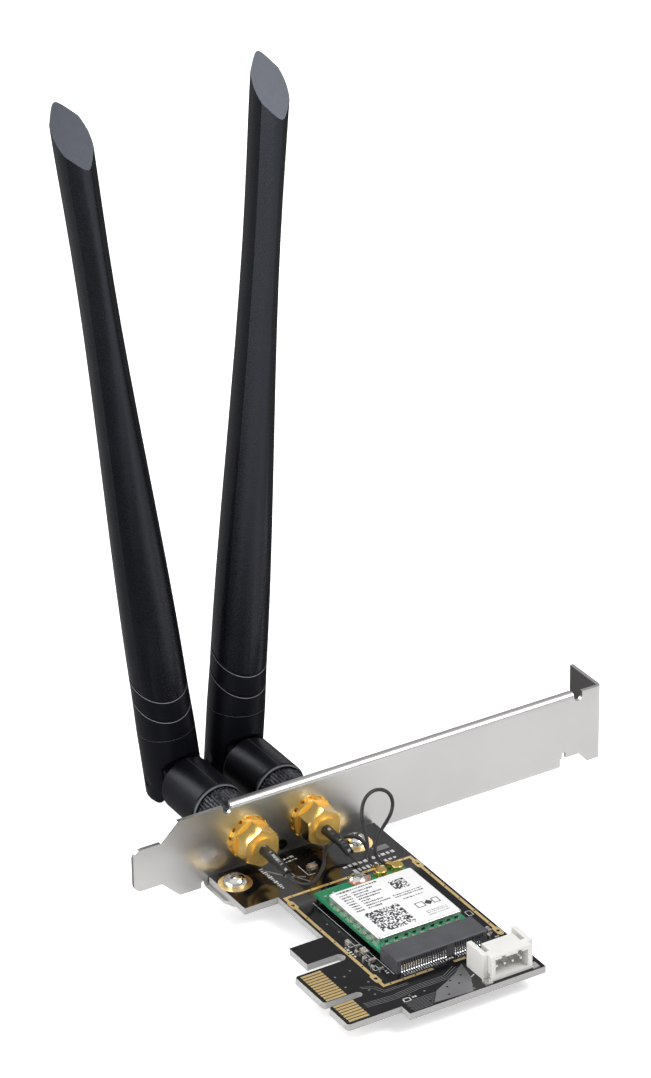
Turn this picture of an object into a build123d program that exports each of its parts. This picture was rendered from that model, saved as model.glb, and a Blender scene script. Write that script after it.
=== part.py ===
from build123d import *
import os
from math import cos, pi, radians, sin, tan

# Wireless network card for a computer's expansion slot: a folded bracket, a board with an edge connector,
# a small radio module in a socket, two panel jacks on pigtail leads and two hinged whip antennas.
# X runs up from the connector edge, Y towards the bracket and the outside, Z out of the component face.
# The origin is the middle of the key notch, on the connector edge, on the component face of the board.

# board
BOARD_T = 1.6             # board thickness
BODY_X = 13.35            # lower long edge of the board, above the connector edge
TOP_X = 46.7              # upper long edge
WING_X = 5.05             # how low the wing and the hook come
WING_LEN = 15.1           # wing, measured from the rear edge
HOOK_FROM = 22.6          # rear side of the hook, from the key notch
HOOK_LEN = 7.3
FRONT_PAST = 3.25         # front edge past the last contact segment
CORNER_CUT = 0.9          # corner cut on the contact segments
EDGE_BEVEL = 0.45         # lead-in bevel on the connector edge
BOARD_GAP = 0.4           # rear edge of the board to the bracket

# edge contacts
PITCH = 1.0
PINS_REAR = 11
PINS_FRONT = 7
KEY_W = 1.9               # key notch
KEY_DEEP = 9.0
KEY_TO_PIN = 0.55         # side of the notch to the first contact's centre
END_TO_PIN = 1.1          # end of a segment to the last contact's centre
PAD_W = 0.7
PAD_T = 0.05              # plating above the board's face
PAD_FROM = 1.3
PAD_LEN = 4.8

# plated guard strip round the module
STRIP_W = 0.7
STRIP_IN = 0.6            # strip to the board's long edges
STRIP_REAR = 40.2
STRIP_FRONT = -0.5
STRIP_SIDE_END = 3.2      # where the strip on the upper edge stops
FRONT_RUN = 12.4
STUB_FROM = 17.5
STUB_LEN = 3.0
EYE_LEN = 3.4             # oval pads with a plated hole
EYE_W = 1.5
EYE_HOLE = 0.4
EYE_BACK = 3.6            # oval pad to the strip's corner

# bracket
BRACKET_Y = 56.6          # inner face of the bracket
SHEET = 0.86
BRACKET_LEN = 120.02
BRACKET_W = 18.42
TONGUE_TIP = -13.1
TONGUE_LEN = 6.8
TONGUE_W = 10.19
TONGUE_R = 2.0
SHOULDER = 4.3            # slope from the tongue to the full width
TAB_DEEP = 11.43
TAB_SLOT = 4.42
TAB_SLOT_DEEP = 6.5
LIP = 1.9                 # how far the side lips stand out of the inner face
LIP_TOP_FROM = 11.2
LIP_LOW_FROM = 46.0
LIP_TOP_STOP = 7.32       # end of the upper lip to the tab
LIP_LOW_STOP = 11.02      # end of the lower lip to the tab
RELIEF_R = 1.05
FOOT_IN = 2.6             # lower edge set back between the lip and the tab
FOOT_STOP = 5.92          # end of the set-back to the tab
FOOT_SLOPE = 2.2          # slope back out to the full width
BEND_R = 1.15             # outside radius of a fold
LIP_ROUND = 0.8           # corners of the lips
LIGHT_X = 23.5
LIGHT_Z = 1.95
LIGHT_R = 1.25
LENS_PLAY = 0.03
LENS_PROUD = 0.2          # smoked lens past the inner face

# ears and bracket screws
EAR_W = 8.4
EAR_DEEP = 9.4
EAR_R = 1.6
SCREW_XA = 8.5
SCREW_XB = 38.8
SCREW_IN = 5.6            # screw line to the bracket
SCREW_R = 1.45
SCREW_HEAD_R = 2.6
SCREW_HEAD_H = 1.8
SCREW_LEN = 5.2
SCREW_PLAY = 0.06
BOARD_PLAY = 0.2          # board hole round a screw
RING_R = 3.75             # plated ring under a screw head
CROSS_W = 0.75
CROSS_DEEP = 0.9

# radio module, its socket and stand-off
MOD_X = 30.0              # middle of the module
MOD_W = 22.0
MOD_LEN = 30.0
MOD_T = 0.8
MOD_REAR = 35.6
MOD_Z = 1.3               # underside of the module
NOTCH_R = 1.75
GROUND_R = 2.75
CAN_FROM = 1.1            # can to the module's lower edge
CAN_W = 20.6
CAN_REAR = 4.0            # can to the module's rear edge
CAN_GAP = 2.5             # can to the socket
CAN_H = 1.35
CAN_WALL = 0.2
CAN_R = 0.6
LABEL_T = 0.1
LABEL_IN = 0.25
CHIP_W = 8.0
CHIP_H = 0.85
SOCKET_DEEP = 6.6
SOCKET_H = 3.35
SOCKET_OVER = 0.15        # socket wider than the module, each end
SOCKET_GRIP = 3.0         # module inside the socket
SOCKET_PLAY = 0.1
SOCKET_CUT = 0.25
COMB_PITCH = 0.6
COMB_SLOT = 0.32
COMB_DEEP = 0.32
COMB_ROOF = 0.5           # housing left above the slots
COMB_ENDS = 1.2           # module width without leads, both ends together
COMB_KEY_AT = 1.9         # key rib, from the middle
COMB_KEY_W = 1.7
LEAD_W = 0.26
LEAD_T = 0.14
LEAD_OUT = 1.3
LEAD_SET = 0.1            # lead behind the housing's front
LEAD_RISE = 1.8           # top of a lead above the board
STAND_R = 2.0
MOD_SCREW_R = 0.95
MOD_SCREW_HEAD_R = 2.0
MOD_SCREW_HEAD_H = 0.7
MOD_SCREW_CROSS = 0.45

# coaxial receptacles and plugs on the module
PORT_XA = 6.1             # from the module's upper edge
PORT_XB = 2.0
PORT_IN = 1.4             # from the module's rear edge
PORT_R = 0.95
PORT_BASE = 2.5
PORT_H = 0.75
CAP_R = 1.3
CAP_H = 0.95
CAP_PLAY = 0.06
CRIMP_W = 1.3
CRIMP_LEN = 1.2
CRIMP_PLAY = 0.08         # end of the lead to the crimp
LEAD_D = 0.81             # coaxial lead
LEAD_UP = 0.75            # lead's middle over the module at the plug

# four-way header
HEAD_X = 38.9
HEAD_W = 9.9
HEAD_DEEP = 7.9
HEAD_H = 5.9
HEAD_BACK = 0.95          # header mouth behind the board's front edge
HEAD_WALL = 0.9
HEAD_BACK_WALL = 1.5
HEAD_SLOT_W = 1.15        # slot between the roof and a wing
HEAD_SLOT_LEN = 5.2
HEAD_SLOT_Z = 3.2         # bottom of the slots
HEAD_WING = 1.15          # wings past the mouth, each side
HEAD_WING_BACK = 1.5      # wings behind the mouth
HEAD_ROOF_BACK = 2.1      # roof ends before the wings do
HEAD_SOFT = 0.25          # rounding on the mouth's corners
WAYS = 4
WAY_PITCH = 2.0
PIN_SQ = 0.5
ANCHOR_OUT = 1.6
ANCHOR_FRONT = 0.6        # anchors past the mouth
ANCHOR_GAP = 0.1          # anchors to the wings
ANCHOR_T = 0.3

# panel jacks
JACK_XA = 15.15
JACK_XB = 30.7
JACK_Z = 6.7
THREAD_R = 3.15
JACK_HOLE_PLAY = 0.15
WASHER_R = 5.15
WASHER_T = 0.35
STAR_R = 4.95
STAR_T = 0.55
STAR_TEETH = 14
STAR_NOTCH = 0.75
FLANGE_R = 4.75
FLANGE_T = 0.75
HEX_AF = 7.95
HEX_LEN = 4.5
STEP_R = 2.65
STEP_LEN = 0.6
THREAD_OUT = 10.2         # thread past the bracket's outer face
NUT_AF = 8.0
NUT_H = 2.2
BORE_R = 2.05
PIN_R = 0.46
FERRULE_R = 0.9
FERRULE_LEN = 5.0
SHRINK_R = 1.2             # shrink sleeve over the ferrule
SHRINK_END_R = 1.0        # and where it has shrunk onto the lead
SHRINK_SLOPE = 0.8
SHRINK_LEN = 9.8
SHRINK_DROP = 0.9         # how far the sleeve's free end sags

# antennas
TURN_A = -6.75            # lean of each whip from upright
TURN_B = 4.75
HINGE_OUT = 33.0          # hinge axis from the bracket's inner face
ELBOW_R = 6.45
ELBOW_FROM = 12.2
RIM_DEEP = 1.2
RIM_WALL = 0.5
RIM_ROUND = 1.0
BARREL_ROUND = 0.8        # elbow's hinge end
SLEEVE_PLAY = 0.2
KNURLS = 48
KNURL_DEEP = 0.24
SLEEVE_GAP = 0.6          # sleeve to the panel nut
COUPLING_R = 4.2
COUPLING_WALL = 1.2
THREAD_PLAY = 0.08
PLUG_FLANGE_R = 3.7
PLUG_FLANGE_T = 1.5
PLUG_STEM_R = 2.7
PLUG_STEM_LEN = 8.0
PLUG_PLAY = 0.1
CONTACT_R = 0.8
CONTACT_WALL = 0.28
FORK_R = 6.5
FORK_END_R = 4.9          # rounded ends of the fork's arms
FORK_CORNER_R = 7.4       # outer corners of the arms, about the jack's axis
FORK_GAP = 1.2            # elbow to the arms' ends when folded
SLOT_W = 9.4
TONGUE_PLAY = 0.2         # each side of the elbow's tongue
KNUCKLE_R = 4.6
KNUCKLE_PLAY = 0.4
ARCH_R = 7.1
ARCH_DEEP = 1.5
HINGE_R = 1.5
HINGE_PLAY = 0.06
DIMPLE = 0.2
SEAM_AT = 11.8            # fork to collar, from the hinge axis
SEAM_DEEP = 0.12
GROOVE_AT = 20.4          # slanted groove round the collar
RING_AT = 25.5            # slanted joint of collar and whip
RING_SLANT = 28.0
GROOVE_W = 0.5
GROOVE_DEEP = 0.38
GROOVE_LIP = 0.16         # bevel on the grooves' lower lips
SPIGOT_R = 4.6
SPIGOT_LEN = 6.0
SPIGOT_PLAY = 0.05
WHIP_ROOT_R = 6.3
WHIP_LEN = 157.0          # hinge axis to the middle of the slanted end
WHIP_SLANT = 45.0
WHIP_DEPTH = 5.62         # half depth at the tip
CREASE_X = 3.15           # half width between the creases at the tip
CREASE_Y = 2.6
CREASE_FROM = 128.0       # the section stays the same above this height
SIDE_BULGE = 0.45
NOSE_CROSS = 0.16         # how far the flanks of a nose aim past its middle, as a share
WHIP_BORE_R = 3.0
WHIP_BORE_TIP_R = 2.0
BORE_STEP = 92.0
BORE_END = 140.0
CORE_R = 0.56
TUBE_R = 2.2
TUBE_LEN = 24.0
BEAD_LEN = 1.5            # beads that hold the radiator in the bore
BEAD_GAP = 2.0

# places that follow from the sizes
REAR_Y = BRACKET_Y - BOARD_GAP
SEG_REAR = KEY_W / 2 + KEY_TO_PIN + PITCH * (PINS_REAR - 1) + END_TO_PIN
SEG_FRONT = -(KEY_W / 2 + KEY_TO_PIN + PITCH * (PINS_FRONT - 1) + END_TO_PIN)
FRONT_Y = SEG_FRONT - FRONT_PAST
HOOK_TO = HOOK_FROM - HOOK_LEN
LOW_Z = -BOARD_T - SHEET
HIGH_Z = LOW_Z + BRACKET_W
END_X = TONGUE_TIP + BRACKET_LEN
LIP_TOP_END = END_X - LIP_TOP_STOP
LIP_LOW_END = END_X - LIP_LOW_STOP
FOOT_FROM = END_X - FOOT_STOP
FOOT_TO = FOOT_FROM + FOOT_SLOPE
SCREW_Y = BRACKET_Y - SCREW_IN
SCREWS = [(SCREW_XA, SCREW_Y), (SCREW_XB, SCREW_Y)]
MOD_TOP = MOD_Z + MOD_T
MOD_FRONT = MOD_REAR - MOD_LEN
SOCKET_REAR = MOD_FRONT + SOCKET_GRIP
SOCKET_FRONT = SOCKET_REAR - SOCKET_DEEP
CAN_LEN = MOD_REAR - CAN_REAR - SOCKET_REAR - CAN_GAP
JACK_XS = [JACK_XA, JACK_XB]
HEX_FROM = WASHER_T + STAR_T + FLANGE_T
HEX_TO = HEX_FROM + HEX_LEN
STEP_TO = HEX_TO + STEP_LEN
NUT_OUT = SHEET + NUT_H
THREAD_END = SHEET + THREAD_OUT
SLEEVE_FROM = NUT_OUT + SLEEVE_GAP
SLEEVE_TO = ELBOW_FROM + RIM_DEEP - SLEEVE_PLAY
SLEEVE_R = ELBOW_R - RIM_WALL - SLEEVE_PLAY
FLANGE_FROM = THREAD_END + PLUG_PLAY
FLANGE_TO = FLANGE_FROM + PLUG_FLANGE_T
COUPLING_TO = FLANGE_TO + PLUG_PLAY + COUPLING_WALL
NECK_FROM = COUPLING_TO + SLEEVE_PLAY
STEM_TO = NECK_FROM + PLUG_STEM_LEN
ELBOW_TO = HINGE_OUT - FORK_END_R - FORK_GAP
RING_RISE = FORK_R * tan(radians(RING_SLANT))
RING_LOW = RING_AT - RING_RISE
RING_HIGH = RING_AT + RING_RISE
SPIGOT_TOP = RING_HIGH + SPIGOT_LEN

parts = {}


def block(x0, x1, y0, y1, z0, z1):
    """A box between two corners."""
    middle = Pos((x0 + x1) / 2, (y0 + y1) / 2, (z0 + z1) / 2)
    return middle * Box(x1 - x0, y1 - y0, z1 - z0)


def upright(x, y, r, z0, z1):
    """A round bar along Z."""
    return Pos(x, y, (z0 + z1) / 2) * Cylinder(r, z1 - z0)


def turned(points):
    """A body turned about Y from (radius, y) corners."""
    return revolve(make_face(Polyline(*points, close=True)), Axis.Y)


def bar(r, y0, y1, bore=0.0):
    """A round bar or tube along Y."""
    return turned([(bore, y0), (r, y0), (r, y1), (bore, y1)])


def hexagon(flats, y0, y1):
    """A hexagon bar along Y with corners up and down."""
    face = RegularPolygon(flats / 2, 6, major_radius=False, rotation=30)
    return extrude(Plane((0, y0, 0), x_dir=(1, 0, 0), z_dir=(0, 1, 0)) * face, y1 - y0)


def near(value, wanted):
    """True where two lengths are the same."""
    return abs(value - wanted) < 1e-4


def runs_along(edge, axis):
    """True where an edge is parallel to X, Y or Z, named 0, 1 or 2."""
    return near(abs(tuple(edge.tangent_at(0.5))[axis]), 1)


# the board: one outline with wing, hook and two contact segments, then key notch, bevels and screw holes
corners = [
    (BODY_X, FRONT_Y),
    (TOP_X, FRONT_Y),
    (TOP_X, REAR_Y),
    (WING_X, REAR_Y),
    (WING_X, REAR_Y - WING_LEN),
    (BODY_X, REAR_Y - WING_LEN),
    (BODY_X, HOOK_FROM),
    (WING_X, HOOK_FROM),
    (WING_X, HOOK_TO),
    (BODY_X, HOOK_TO),
    (BODY_X, SEG_REAR),
    (0, SEG_REAR),
    (0, SEG_FRONT),
    (BODY_X, SEG_FRONT),
]
outline = make_face(Polyline(*corners, close=True))
throat = [v for v in outline.vertices() if near(v.X, BODY_X) and (near(v.Y, HOOK_TO) or near(v.Y, SEG_REAR))]
outline = fillet(throat, 0.48 * (HOOK_TO - SEG_REAR))
outline -= Pos((KEY_DEEP - KEY_W / 2) / 2, 0) * Rectangle(KEY_DEEP - KEY_W / 2, KEY_W)
outline -= Pos(KEY_DEEP - KEY_W / 2, 0) * Circle(KEY_W / 2)
outline = chamfer([v for v in outline.vertices() if near(v.X, 0)], CORNER_CUT)
for x, y in SCREWS:
    outline -= Pos(x, y) * Circle(SCREW_R + BOARD_PLAY)
board = extrude(outline, -BOARD_T)
lead_in = [e for e in board.edges() if near(e.center().X, 0) and runs_along(e, 1)]
board = chamfer(lead_in, EDGE_BEVEL)
parts["circuit_board"] = board

# gold contacts on both faces of the edge
rows = [KEY_W / 2 + KEY_TO_PIN + PITCH * i for i in range(PINS_REAR)]
rows += [-(KEY_W / 2 + KEY_TO_PIN + PITCH * i) for i in range(PINS_FRONT)]
contacts = []
for y in rows:
    for z0, z1 in ((0, PAD_T), (-BOARD_T - PAD_T, -BOARD_T)):
        contacts.append(block(PAD_FROM, PAD_FROM + PAD_LEN, y - PAD_W / 2, y + PAD_W / 2, z0, z1))
parts["edge_contacts"] = Compound(contacts)

# plated guard strip with four eyes, and a ring under each bracket screw
low = BODY_X + STRIP_IN
high = TOP_X - STRIP_IN
strip = Pos(low + STRIP_W / 2, (STRIP_REAR + STRIP_FRONT) / 2) * Rectangle(STRIP_W, STRIP_REAR - STRIP_FRONT)
strip += Pos((low + high) / 2, STRIP_REAR - STRIP_W / 2) * Rectangle(high - low, STRIP_W)
side_run = STRIP_REAR - STRIP_SIDE_END
strip += Pos(high - STRIP_W / 2, STRIP_REAR - side_run / 2) * Rectangle(STRIP_W, side_run)
strip += Pos(low + FRONT_RUN / 2, STRIP_FRONT + STRIP_W / 2) * Rectangle(FRONT_RUN, STRIP_W)
stub = Pos(low + STUB_FROM + STUB_LEN / 2, STRIP_FRONT + STRIP_W / 2) * Rectangle(STUB_LEN, STRIP_W)
eyes = [
    (low + STRIP_W / 2, STRIP_REAR - EYE_BACK),
    (low + STRIP_W / 2, STRIP_FRONT + EYE_BACK),
    (high - STRIP_W / 2, STRIP_REAR - EYE_BACK),
    (high - STRIP_W / 2, STRIP_SIDE_END + EYE_LEN / 2),
]
for x, y in eyes:
    strip += Pos(x, y) * SlotOverall(EYE_LEN, EYE_W, rotation=90)
for x, y in eyes:
    strip -= Pos(x, y) * Circle(EYE_HOLE)
rings = [Pos(x, y) * (Circle(RING_R) - Circle(SCREW_R + BOARD_PLAY)) for x, y in SCREWS]
plating = [extrude(face, PAD_T) for face in [strip, stub] + rings]
parts["plated_pads"] = Compound([s for p in plating for s in p.solids()])

# the bracket: one sheet blank with a tongue, folded lips, ears under the board and a top tab, and a small
# smoked lens pressed into its light hole
side = (BRACKET_W - TONGUE_W) / 2
blank = [
    (TONGUE_TIP, LOW_Z + side),
    (TONGUE_TIP + TONGUE_LEN, LOW_Z + side),
    (TONGUE_TIP + TONGUE_LEN + SHOULDER, LOW_Z),
    (LIP_LOW_END, LOW_Z),
    (LIP_LOW_END, LOW_Z + FOOT_IN),
    (FOOT_FROM, LOW_Z + FOOT_IN),
    (FOOT_TO, LOW_Z),
    (END_X, LOW_Z),
    (END_X, HIGH_Z),
    (TONGUE_TIP + TONGUE_LEN + SHOULDER, HIGH_Z),
    (TONGUE_TIP + TONGUE_LEN, HIGH_Z - side),
    (TONGUE_TIP, HIGH_Z - side),
]
plate = make_face(Polyline(*blank, close=True))
plate = fillet([v for v in plate.vertices() if near(v.X, TONGUE_TIP)], TONGUE_R)
for x in JACK_XS:
    plate -= Pos(x, JACK_Z) * Circle(THREAD_R + JACK_HOLE_PLAY)
plate -= Pos(LIGHT_X, LIGHT_Z) * Circle(LIGHT_R)
relief_top = [(LIP_TOP_FROM - RELIEF_R, HIGH_Z), (LIP_TOP_END + RELIEF_R, HIGH_Z)]
relief_low = [(LIP_LOW_FROM - RELIEF_R, LOW_Z), (LIP_LOW_END + RELIEF_R, LOW_Z + FOOT_IN)]
for x in (SCREW_XA, SCREW_XB):
    relief_low += [(x - EAR_W / 2 - RELIEF_R / 2, LOW_Z), (x + EAR_W / 2 + RELIEF_R / 2, LOW_Z)]
for x, z in relief_top:
    plate -= Pos(x, z - RELIEF_R) * Circle(RELIEF_R)
    plate -= Pos(x, z - RELIEF_R / 2) * Rectangle(2 * RELIEF_R, RELIEF_R)
for x, z in relief_low:
    plate -= Pos(x, z + RELIEF_R) * Circle(RELIEF_R / 2)
    plate -= Pos(x, z + RELIEF_R / 2) * Rectangle(RELIEF_R, RELIEF_R)
sheet = Plane((0, BRACKET_Y, 0), x_dir=(1, 0, 0), z_dir=(0, -1, 0))
bracket = extrude(sheet * plate, -SHEET)
bracket += block(LIP_TOP_FROM, LIP_TOP_END, BRACKET_Y, BRACKET_Y + LIP, HIGH_Z - SHEET, HIGH_Z)
bracket += block(LIP_LOW_FROM, LIP_LOW_END, BRACKET_Y, BRACKET_Y + LIP, LOW_Z, LOW_Z + SHEET)
bracket += block(END_X - SHEET, END_X, BRACKET_Y, BRACKET_Y + TAB_DEEP, LOW_Z, HIGH_Z)
for x, y in SCREWS:
    ear = Pos(x, BRACKET_Y - EAR_DEEP / 2) * Rectangle(EAR_W, EAR_DEEP)
    ear = fillet([v for v in ear.vertices() if near(v.Y, BRACKET_Y - EAR_DEEP)], EAR_R)
    ear += Pos(x, BRACKET_Y + SHEET / 2) * Rectangle(EAR_W, SHEET)
    ear -= Pos(x, y) * Circle(SCREW_R + SCREW_PLAY)
    bracket += Pos(0, 0, LOW_Z) * extrude(ear, SHEET)
folds = []
for e in bracket.edges():
    c = e.center()
    on_lip = near(c.Z, HIGH_Z) or near(c.Z, LOW_Z)
    if runs_along(e, 0) and near(c.Y, BRACKET_Y) and on_lip and e.length > LIP_LOW_END - LIP_LOW_FROM - 1:
        folds.append(e)
    on_ear = near(c.Z, LOW_Z) and near(e.length, EAR_W)
    if runs_along(e, 0) and near(c.Y, BRACKET_Y + SHEET) and on_ear:
        folds.append(e)
    if runs_along(e, 2) and near(c.X, END_X) and near(c.Y, BRACKET_Y):
        folds.append(e)
bracket = fillet(folds, BEND_R)
stops = (LIP_TOP_FROM, LIP_TOP_END, LIP_LOW_FROM, LIP_LOW_END)
lip_ends = []
for e in bracket.edges():
    c = e.center()
    if runs_along(e, 2) and near(c.Y, BRACKET_Y + LIP) and any(near(c.X, x) for x in stops):
        lip_ends.append(e)
bracket = fillet(lip_ends, LIP_ROUND)
slot_y = BRACKET_Y + SHEET + (TAB_DEEP - SHEET) / 2
slot_z = LOW_Z + TAB_SLOT_DEEP - TAB_SLOT / 2
half = TAB_SLOT / 2
slot = block(END_X - 2 * SHEET, END_X + SHEET, slot_y - half, slot_y + half, LOW_Z - 1, slot_z)
slot += Pos(END_X, slot_y, slot_z) * Rot(0, 90, 0) * Cylinder(half, 4 * SHEET)
bracket -= slot
parts["bracket"] = bracket
lens_from = BRACKET_Y - LENS_PROUD
lens_mid = (lens_from + BRACKET_Y + SHEET) / 2
lens = Rot(90, 0, 0) * Cylinder(LIGHT_R - LENS_PLAY, SHEET + LENS_PROUD)
parts["light_lens"] = Pos(LIGHT_X, lens_mid, LIGHT_Z) * lens


def cross_screw(r, head_r, head_h, length, cross_w, cross_deep):
    """A pan-head screw with a cross recess, head seated on z = 0."""
    arc = ThreePointArc((head_r, head_h * 0.35), (head_r * 0.75, head_h * 0.84), (0, head_h))
    rim = Polyline((0, head_h), (0, -length), (r, -length), (r, 0), (head_r, 0), (head_r, head_h * 0.35))
    screw = revolve(Plane.XZ * make_face(Curve() + [arc, rim]), Axis.Z)
    for turn in (0, 90):
        screw -= Pos(0, 0, head_h) * Rot(0, 0, turn + 20) * Box(head_r * 1.15, cross_w, 2 * cross_deep)
    return screw


screw = cross_screw(SCREW_R, SCREW_HEAD_R, SCREW_HEAD_H, SCREW_LEN, CROSS_W, CROSS_DEEP)
parts["bracket_screws"] = Compound([Pos(x, y, PAD_T) * screw for x, y in SCREWS])

# the module: board with a half-round screw notch and a key slot in its socket end
card = Pos(MOD_X, (MOD_REAR + MOD_FRONT) / 2) * Rectangle(MOD_W, MOD_LEN)
card -= Pos(MOD_X, MOD_REAR) * Circle(NOTCH_R)
card -= Pos(MOD_X + COMB_KEY_AT, MOD_FRONT + SOCKET_GRIP / 2) * Rectangle(COMB_KEY_W, SOCKET_GRIP)
parts["module_board"] = Pos(0, 0, MOD_Z) * extrude(card, MOD_T)
ground = Pos(MOD_X, MOD_REAR) * (Circle(GROUND_R) - Circle(NOTCH_R))
ground &= Pos(MOD_X, MOD_REAR - GROUND_R / 2) * Rectangle(2 * GROUND_R, GROUND_R)
parts["module_ground_pad"] = Pos(0, 0, MOD_TOP) * extrude(ground, PAD_T)
can_x0 = MOD_X - MOD_W / 2 + CAN_FROM
can_y1 = MOD_REAR - CAN_REAR
can = block(can_x0, can_x0 + CAN_W, can_y1 - CAN_LEN, can_y1, MOD_TOP, MOD_TOP + CAN_H)
can = fillet(can.edges().filter_by(Axis.Z), CAN_R)
can = fillet(can.faces().sort_by(Axis.Z)[-1].edges(), CAN_WALL * 0.9)
room = block(
    can_x0 + CAN_WALL,
    can_x0 + CAN_W - CAN_WALL,
    can_y1 - CAN_LEN + CAN_WALL,
    can_y1 - CAN_WALL,
    MOD_TOP,
    MOD_TOP + CAN_H - CAN_WALL,
)
parts["shield_can"] = can - fillet(room.edges().filter_by(Axis.Z), CAN_R - CAN_WALL)
can_mid = (can_x0 + CAN_W / 2, can_y1 - CAN_LEN / 2)
tag = RectangleRounded(CAN_W - 2 * LABEL_IN, CAN_LEN - 2 * LABEL_IN, CAN_R)
parts["module_label"] = Pos(can_mid[0], can_mid[1], MOD_TOP + CAN_H) * extrude(tag, LABEL_T)
parts["radio_chip"] = Pos(can_mid[0], can_mid[1], MOD_TOP + CHIP_H / 2) * Box(CHIP_W, CHIP_W, CHIP_H)

# small parts on the module's margins: a row before the socket and a row beside the can
bits = []
strip_y = (can_y1 - CAN_LEN + SOCKET_REAR) / 2
for i in range(9):
    x = MOD_X + MOD_W * (i - 4) / 10.2
    bits.append(Pos(x, strip_y, MOD_TOP + 0.2) * Box(1.0 if i % 3 else 0.6, 0.5, 0.4))
for i in range(7):
    y = can_y1 - CAN_LEN * (i + 0.85) / 7.7
    bits.append(Pos(can_x0 - CAN_FROM / 2, y, MOD_TOP + 0.15) * Box(0.4, 0.9 if i % 2 else 0.6, 0.3))
parts["module_parts"] = Compound(bits)

# stand-off under the notch, with the screw that holds the module down
parts["standoff"] = upright(MOD_X, MOD_REAR, STAND_R, 0, MOD_Z) - upright(
    MOD_X, MOD_REAR, MOD_SCREW_R + SCREW_PLAY, -1, MOD_Z + 1
)
small = cross_screw(
    MOD_SCREW_R,
    MOD_SCREW_HEAD_R,
    MOD_SCREW_HEAD_H,
    MOD_T + PAD_T + MOD_Z * 0.9,
    MOD_SCREW_CROSS,
    MOD_SCREW_HEAD_H * 0.5,
)
parts["module_screw"] = Pos(MOD_X, MOD_REAR, MOD_TOP + PAD_T) * small

# socket: housing with a mouth for the module, a key rib and a comb of slots in front for the leads
sx0 = MOD_X - MOD_W / 2 - SOCKET_OVER
sx1 = MOD_X + MOD_W / 2 + SOCKET_OVER
socket = block(sx0, sx1, SOCKET_FRONT, SOCKET_REAR, 0, SOCKET_H)
top_edges = [e for e in socket.edges() if near(e.center().Z, SOCKET_H) and runs_along(e, 0)]
socket = chamfer(top_edges, SOCKET_CUT)
mouth = block(
    MOD_X - MOD_W / 2 - SOCKET_PLAY / 2,
    MOD_X + MOD_W / 2 + SOCKET_PLAY / 2,
    MOD_FRONT - SOCKET_PLAY,
    SOCKET_REAR + 1,
    MOD_Z - SOCKET_PLAY,
    MOD_TOP + SOCKET_PLAY,
)
rib = COMB_KEY_W - 2 * SOCKET_PLAY
mouth -= block(
    MOD_X + COMB_KEY_AT - rib / 2,
    MOD_X + COMB_KEY_AT + rib / 2,
    MOD_FRONT - 1,
    SOCKET_REAR - 2 * SOCKET_PLAY,
    0,
    SOCKET_H,
)
socket -= mouth
count = int((MOD_W - COMB_ENDS) / COMB_PITCH)
comb_xs = [MOD_X + COMB_PITCH * (i - (count - 1) / 2) for i in range(count)]
comb_xs = [x for x in comb_xs if abs(x - MOD_X - COMB_KEY_AT) > COMB_KEY_W / 2]
comb = Sketch() + [
    Pos(x, SOCKET_FRONT + COMB_DEEP / 2) * Rectangle(COMB_SLOT, COMB_DEEP) for x in comb_xs
]
socket -= extrude(comb, SOCKET_H - COMB_ROOF)
parts["module_socket"] = socket
lead_y = SOCKET_FRONT + LEAD_SET
lead_line = [
    (lead_y + LEAD_T, LEAD_T),
    (lead_y + LEAD_T, LEAD_RISE),
    (lead_y, LEAD_RISE),
    (lead_y, 2 * LEAD_T),
    (lead_y - LEAD_T, LEAD_T),
    (SOCKET_FRONT - LEAD_OUT, LEAD_T),
    (SOCKET_FRONT - LEAD_OUT, 0),
    (lead_y, 0),
]
lead_face = Plane.YZ * make_face(Polyline(*lead_line, close=True))
lead = extrude(lead_face, LEAD_W)
parts["socket_leads"] = Compound([Pos(x - LEAD_W / 2, 0, 0) * lead for x in comb_xs])

# coaxial receptacles on the module, and the push-on plugs over them
ports = [(MOD_X + MOD_W / 2 - inset, MOD_REAR - PORT_IN) for inset in (PORT_XA, PORT_XB)]
port = Pos(0, 0, 0.1) * Box(PORT_BASE, PORT_BASE, 0.2)
port += upright(0, 0, PORT_R, 0.2, PORT_H)
port -= upright(0, 0, PORT_R * 0.7, 0.2, PORT_H + 1)
port += upright(0, 0, PORT_R * 0.25, 0.2, PORT_H)
parts["module_receptacles"] = Compound([Pos(x, y, MOD_TOP) * port for x, y in ports])


def push_plug(turn):
    """A flat cap that pushes over a receptacle, with a crimp for the lead on its turned +Y side."""
    low = 0.3
    top = PORT_H + 0.1 + CAP_H / 2
    plug = upright(0, 0, CAP_R, low, top) - upright(0, 0, PORT_R + CAP_PLAY, low - 1, PORT_H + 0.08)
    plug = fillet(plug.faces().sort_by(Axis.Z)[-1].edges(), 0.2)
    crimp = block(-CRIMP_W / 2, CRIMP_W / 2, CAP_R * 0.8, CAP_R + CRIMP_LEN, low, top - 0.1)
    plug += crimp - upright(0, 0, PORT_R + CAP_PLAY, low - 1, PORT_H + 0.08)
    return Rot(0, 0, turn) * plug


PLUG_TURN = [0.0, 35.0]
for side_name, (x, y), turn in zip(("left", "right"), ports, PLUG_TURN):
    parts["cable_plug_" + side_name] = Pos(x, y, MOD_TOP) * push_plug(turn)

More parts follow.
